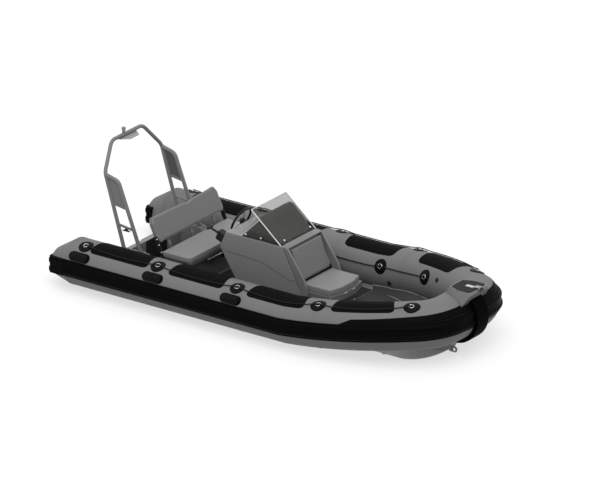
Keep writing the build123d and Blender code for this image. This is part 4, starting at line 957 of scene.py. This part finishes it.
SEAT_LOW, SEAT_T = 0.3749, 0.0737
SEAT_OUTLINE = [(0.326, -0.292), (0.705, -0.292), (0.752, -0.120), (0.752, 0.120), (0.705, 0.292), (0.326, 0.292)]
pad("front_seat_pad", Vector((0, 0, SEAT_LOW)), EAST, NORTH, SEAT_OUTLINE, lambda x, y: SEAT_T,
    round_off=0.014, voxel=0.007, node="front_seat_cushion", body="front_seat", cover=vinyl, seam=welt_vinyl)

BACK_LOW, BACK_HIGH, BACK_HALF = 0.448, 0.788, 0.282
BACK_THIN, BACK_THICK, BACK_OFF = 0.012, 0.062, 0.001
back_tilt = atan2(FACE_SLOPE, 1.0)
back_up = Vector((-sin(back_tilt), 0.0, cos(back_tilt)))
back_long = (BACK_HIGH - BACK_LOW) / cos(back_tilt)
BACK_OUTLINE = [(-BACK_HALF, 0.0), (BACK_HALF, 0.0), (BACK_HALF, back_long), (-BACK_HALF, back_long)]
pad("console_back_pad", Vector((face_x(BACK_LOW) + BACK_OFF, 0.0, BACK_LOW)), NORTH, back_up, BACK_OUTLINE,
    lambda x, y: BACK_THIN + (BACK_THICK - BACK_THIN) * min(max(y / back_long, 0.0), 1.0),
    round_off=0.008, voxel=0.007, node="console_back_cushion", body="boat", cover=shaded_back_vinyl, seam=highlit_back_welt)

BENCH_LOW, BENCH_T = 0.4742, 0.0658
BENCH_OUTLINE = [(-1.362, -0.620), (-1.007, -0.620), (-0.962, -0.575), (-0.962, 0.575), (-1.007, 0.620),
                 (-1.362, 0.620)]
pad("bench_pad", Vector((0, 0, BENCH_LOW)), EAST, NORTH, BENCH_OUTLINE, lambda x, y: BENCH_T,
    round_off=0.012, voxel=0.008, node="bench_cushion", body="bench_seat", cover=vinyl, seam=welt_vinyl)

REST_X, REST_LOW, REST_HIGH, REST_SLOPE, REST_T, REST_HALF = -1.375, 0.632, 0.905, 0.50, 0.064, 0.620
REST_CUT_LOW, REST_CUT_HIGH = 0.055, 0.070
rest_tilt = atan2(REST_SLOPE, 1.0)
rest_up = Vector((-sin(rest_tilt), 0.0, cos(rest_tilt)))
rest_out = NORTH.cross(rest_up).normalized()
rest_long = (REST_HIGH - REST_LOW) / cos(rest_tilt)
REST_OUTLINE = [(-REST_HALF + REST_CUT_LOW * 0.5, 0.0), (REST_HALF - REST_CUT_LOW * 0.5, 0.0),
                (REST_HALF, REST_CUT_LOW), (REST_HALF, rest_long - REST_CUT_HIGH),
                (REST_HALF - REST_CUT_HIGH * 0.55, rest_long), (-REST_HALF + REST_CUT_HIGH * 0.55, rest_long),
                (-REST_HALF, rest_long - REST_CUT_HIGH), (-REST_HALF, REST_CUT_LOW)]
REST_DIP, DIP_HALF, DIP_FROM = 0.012, 0.520, 0.120
NOTCH_DEEP, NOTCH_FROM, NOTCH_LOW, NOTCH_TO = 0.020, 0.020, 0.050, 0.210


def rest_dip(x, y):
    """How far the backrest's face sinks at a point, towards the small notch in its upper edge."""
    share = min(max((y - DIP_FROM) / (rest_long - DIP_FROM), 0.0), 1.0)
    fall = REST_DIP * max(0.0, 1.0 - abs(x - NOTCH_LOW) / DIP_HALF)
    notch = min((x - NOTCH_FROM) / (NOTCH_LOW - NOTCH_FROM), (NOTCH_TO - x) / (NOTCH_TO - NOTCH_LOW))
    return (fall + NOTCH_DEEP * min(max(notch, 0.0), 1.0)) * share


pad("backrest_pad", Vector((REST_X, 0.0, REST_LOW)) - rest_out * REST_T, NORTH, rest_up, REST_OUTLINE,
    lambda x, y: REST_T - 0.0002, round_off=0.020, voxel=0.008, node="backrest", body="boat", cover=shaded_back_vinyl,
    seam=highlit_back_welt, dip=rest_dip)

# ------------------------------------------------------------------ front seat
# The seat's moulded box, its rim and the lid that carries the pad, on two stainless hinges along
# the fore edge.
seat_shell = finish("seat_shell", 0.135, 0.36, depth=0.00006, gloss=0.4)
dress(seat_shell, "front_seat_box", "front_seat_lid")
HINGE, HINGE_R, HINGE_HALF = Vector((0.7665, 0.0, 0.3660)), 0.0050, 0.030
for number, y in enumerate((-0.075, 0.075)):
    rod(f"seat_hinge_{number}", [HINGE + NORTH * (y - HINGE_HALF), HINGE + NORTH * (y + HINGE_HALF)], HINGE_R,
        stainless)

# ------------------------------------------------------------------ bench
# A folded aluminium box with a shelf, a lid under the pad, a bright kick rail below the fore edge,
# and flat struts and black slotted brackets that hold the backrest.
bench_paint = finish("bench_paint", 0.120, 0.45, vary=0.06)
dress(bench_paint, "bench_box", "bench_lid", "backrest_struts")
RAIL_X, KICK_R, STAY_R = -1.000, 0.011, 0.006
rod("kick_rail", [Vector((RAIL_X, y, 0.395)) for y in (-0.26, 0.02)], KICK_R, stainless, sides=16)
for number, y in enumerate((-0.22, -0.02)):
    rod(f"kick_rail_stay_{number}", [Vector((RAIL_X, y, z)) for z in (0.400, 0.4310)], STAY_R, stainless)
LATCH = ((-1.0605, 0.300), (-1.0480, 0.304), (-1.0480, 0.356), (-1.0605, 0.360))
plate("bench_latch", LATCH, 0.140, 0.060, plastic, bevel=0.003)
BRACKET_Y, BRACKET_T = 0.608, 0.008
BRACKET = ((-1.370, 0.470), (-1.318, 0.470), (-1.363, 0.560), (-1.423, 0.700), (-1.470, 0.682), (-1.423, 0.560))
for side_name, side in SIDES:
    plate(f"rest_bracket_{side_name}", BRACKET, side * BRACKET_Y, BRACKET_T, plastic, bevel=0.002)
for ending, side, (x, z) in both_sides(((-1.362, 0.520), (-1.398, 0.600), (-1.425, 0.662))):
    turned(f"bracket_bolt_{ending}", Vector((x, side * (BRACKET_Y + BRACKET_T / 2), z)), side * NORTH, SCREW_PROFILE,
           stainless, sides=12)

# ------------------------------------------------------------------ stern arch
# Bent and welded aluminium tube with plate webs, grey powder coat, bolted through four feet on the
# transom knees; the dark panels on the webs' inner faces are painted shade. It carries a light plate,
# a mushroom-shaped lamp and a cleat on the starboard rung.
arch_paint = finish("arch_paint", 0.162, 0.42, vary=0.06, depth=0.00012, gloss=0.35)
dress(arch_paint, "arch")
plate_paint = finish("light_plate_paint", 0.280, 0.42, vary=0.06, depth=0.00012, gloss=0.35)
dress(plate_paint, "light_plate")
ARCH_Y, AFT_FOOT_X, FRONT_FOOT_X, FOOT_Z = 0.529, -1.944, -1.710, 0.403
AFT_LEAN, FRONT_LEAN, ARCH_R = 0.30, 0.385, 0.022


def aft_leg(z):
    return AFT_FOOT_X - (z - FOOT_Z) * AFT_LEAN


def front_leg(z):
    return FRONT_FOOT_X - (z - FOOT_Z) * FRONT_LEAN


WEB_INSET, WEB_HALF, WEB_SHADE_T = 0.034, 0.0045, 0.003
WEB_SHADE = ((aft_leg(0.935) + WEB_INSET, 0.935), (front_leg(0.915) - WEB_INSET, 0.915),
             (front_leg(1.150) - WEB_INSET, 1.150), (aft_leg(1.235) + WEB_INSET, 1.235))
# Dark panels on the webs' inner faces: painted shade on those faces.
web_painted_shade = finish("web_inner_painted_shade", 0.078, 0.5, vary=0.08, vary_scale=6.0, depth=0.00012, gloss=0.2)
for side_name, side in SIDES:
    plate(f"web_shade_panel_{side_name}", WEB_SHADE, side * (ARCH_Y - WEB_HALF), WEB_SHADE_T, web_painted_shade,
          bevel=0.001)
WELD_R, BOLT_X, BOLT_Y = 0.0045, 0.030, 0.034
FOOT_BOLT = ((0.0080, -0.001), (0.0080, 0.0015), (0.0062, 0.0016), (0.0058, 0.0070), (0.0020, 0.0072))
for ending, side, x in both_sides((AFT_FOOT_X, FRONT_FOOT_X)):
    foot = Vector((x, side * ARCH_Y, FOOT_Z))
    ring_piece(f"foot_weld_{ending}", foot + UP * 0.002, UP, ARCH_R + 0.001, WELD_R, arch_paint)
    for corner, (dx, dy) in enumerate(((-BOLT_X, -BOLT_Y), (BOLT_X, -BOLT_Y), (BOLT_X, BOLT_Y), (-BOLT_X, BOLT_Y))):
        turned(f"foot_bolt_{ending}_{corner}", foot + Vector((dx, dy, 0.001)), UP, FOOT_BOLT, stainless,
               sides=12)
CLEAT = ((-0.055, 0.010), (-0.045, 0.019), (0.045, 0.019), (0.055, 0.010), (0.020, 0.004), (0.016, -0.014),
         (-0.016, -0.014), (-0.020, 0.004))
CLEAT_Z, CLEAT_OUT, CLEAT_T = 0.640, 0.004, 0.020
cleat_x = (aft_leg(CLEAT_Z) + front_leg(CLEAT_Z)) / 2
plate("rung_cleat_starboard", [(cleat_x + x, CLEAT_Z - z) for x, z in CLEAT], -(ARCH_Y + CLEAT_OUT), CLEAT_T, plastic,
      bevel=0.003)
lamp_low, lamp_high = [Vector(corner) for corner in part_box("anchor_light")]
lamp_foot = Vector(((lamp_low.x + lamp_high.x) / 2, (lamp_low.y + lamp_high.y) / 2, lamp_low.z))
lamp_tall = lamp_high.z - lamp_low.z
lamp_grey = finish("lamp_body", 0.170, 0.4, pebble=700.0, gloss=0.35)
lamp_lens = finish("lamp_lens", 0.330, 0.25, vary=0.04, pebble=300.0, gloss=0.5, rib=0.6, rib_scale=160.0)
LAMP_STALK = ((0.0200, 0.0), (0.0200, 0.05), (0.0140, 0.10), (0.0130, 0.26), (0.0180, 0.30), (0.0225, 0.34),
              (0.0225, 0.42), (0.0150, 0.45), (0.0110, 0.47))          # radius, share of the height
LAMP_HEAD = ((0.0120, 0.46), (0.0220, 0.48), (0.0220, 0.70), (0.0120, 0.71))
LAMP_CAP = ((0.0200, 0.70), (0.0255, 0.74), (0.0260, 0.82), (0.0215, 0.93), (0.0120, 0.99), (0.0020, 1.00))
for name, profile, material in (("lamp_stalk", LAMP_STALK, lamp_grey), ("lamp_lens", LAMP_HEAD, lamp_lens),
                                ("lamp_cap", LAMP_CAP, lamp_grey)):
    lamp_part = turned(name, lamp_foot, UP, [(r, share * lamp_tall) for r, share in profile], material,
                       sides=36)
    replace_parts(lamp_part, "anchor_light")

# ------------------------------------------------------------------ motor bolt rims and weld beads
# Bare washers line the four motor bolt holes, and raised weld beads join the knees and the deck,
# and the side and bottom plates along the chine.
RIM_X, RIM_HOLE_R, RIM_WIRE, BEAD_R = -1.9605, 0.0105, 0.0022, 0.0045
for number, (y, z) in enumerate(((-0.1635, 0.347), (0.1635, 0.347), (-0.1255, 0.144), (0.1255, 0.144))):
    ring_piece(f"bolt_rim_{number}", Vector((RIM_X, y, z)), EAST, RIM_HOLE_R, RIM_WIRE, stainless,
               steps=28, sides=8)
KNEE_EDGES, KNEE_BEAD = (0.474, 0.584), ((-1.888, 0.123), (-1.592, 0.123))
CHINE_BEAD = [bottom(x, 1.0) for x in (-1.945, -1.2, -0.4, 0.4, 0.89, 1.3, 1.48)]
for ending, side, y in both_sides(KNEE_EDGES):
    rod(f"knee_bead_{ending}", [Vector((x, side * y, z)) for x, z in KNEE_BEAD], BEAD_R, hull_paint,
        sides=8)
for side_name, side in SIDES:
    rod(f"chine_bead_{side_name}", [Vector((spot.x, side * abs(spot.y), spot.z - 0.001)) for spot in CHINE_BEAD],
        BEAD_R, hull_paint, sides=8)
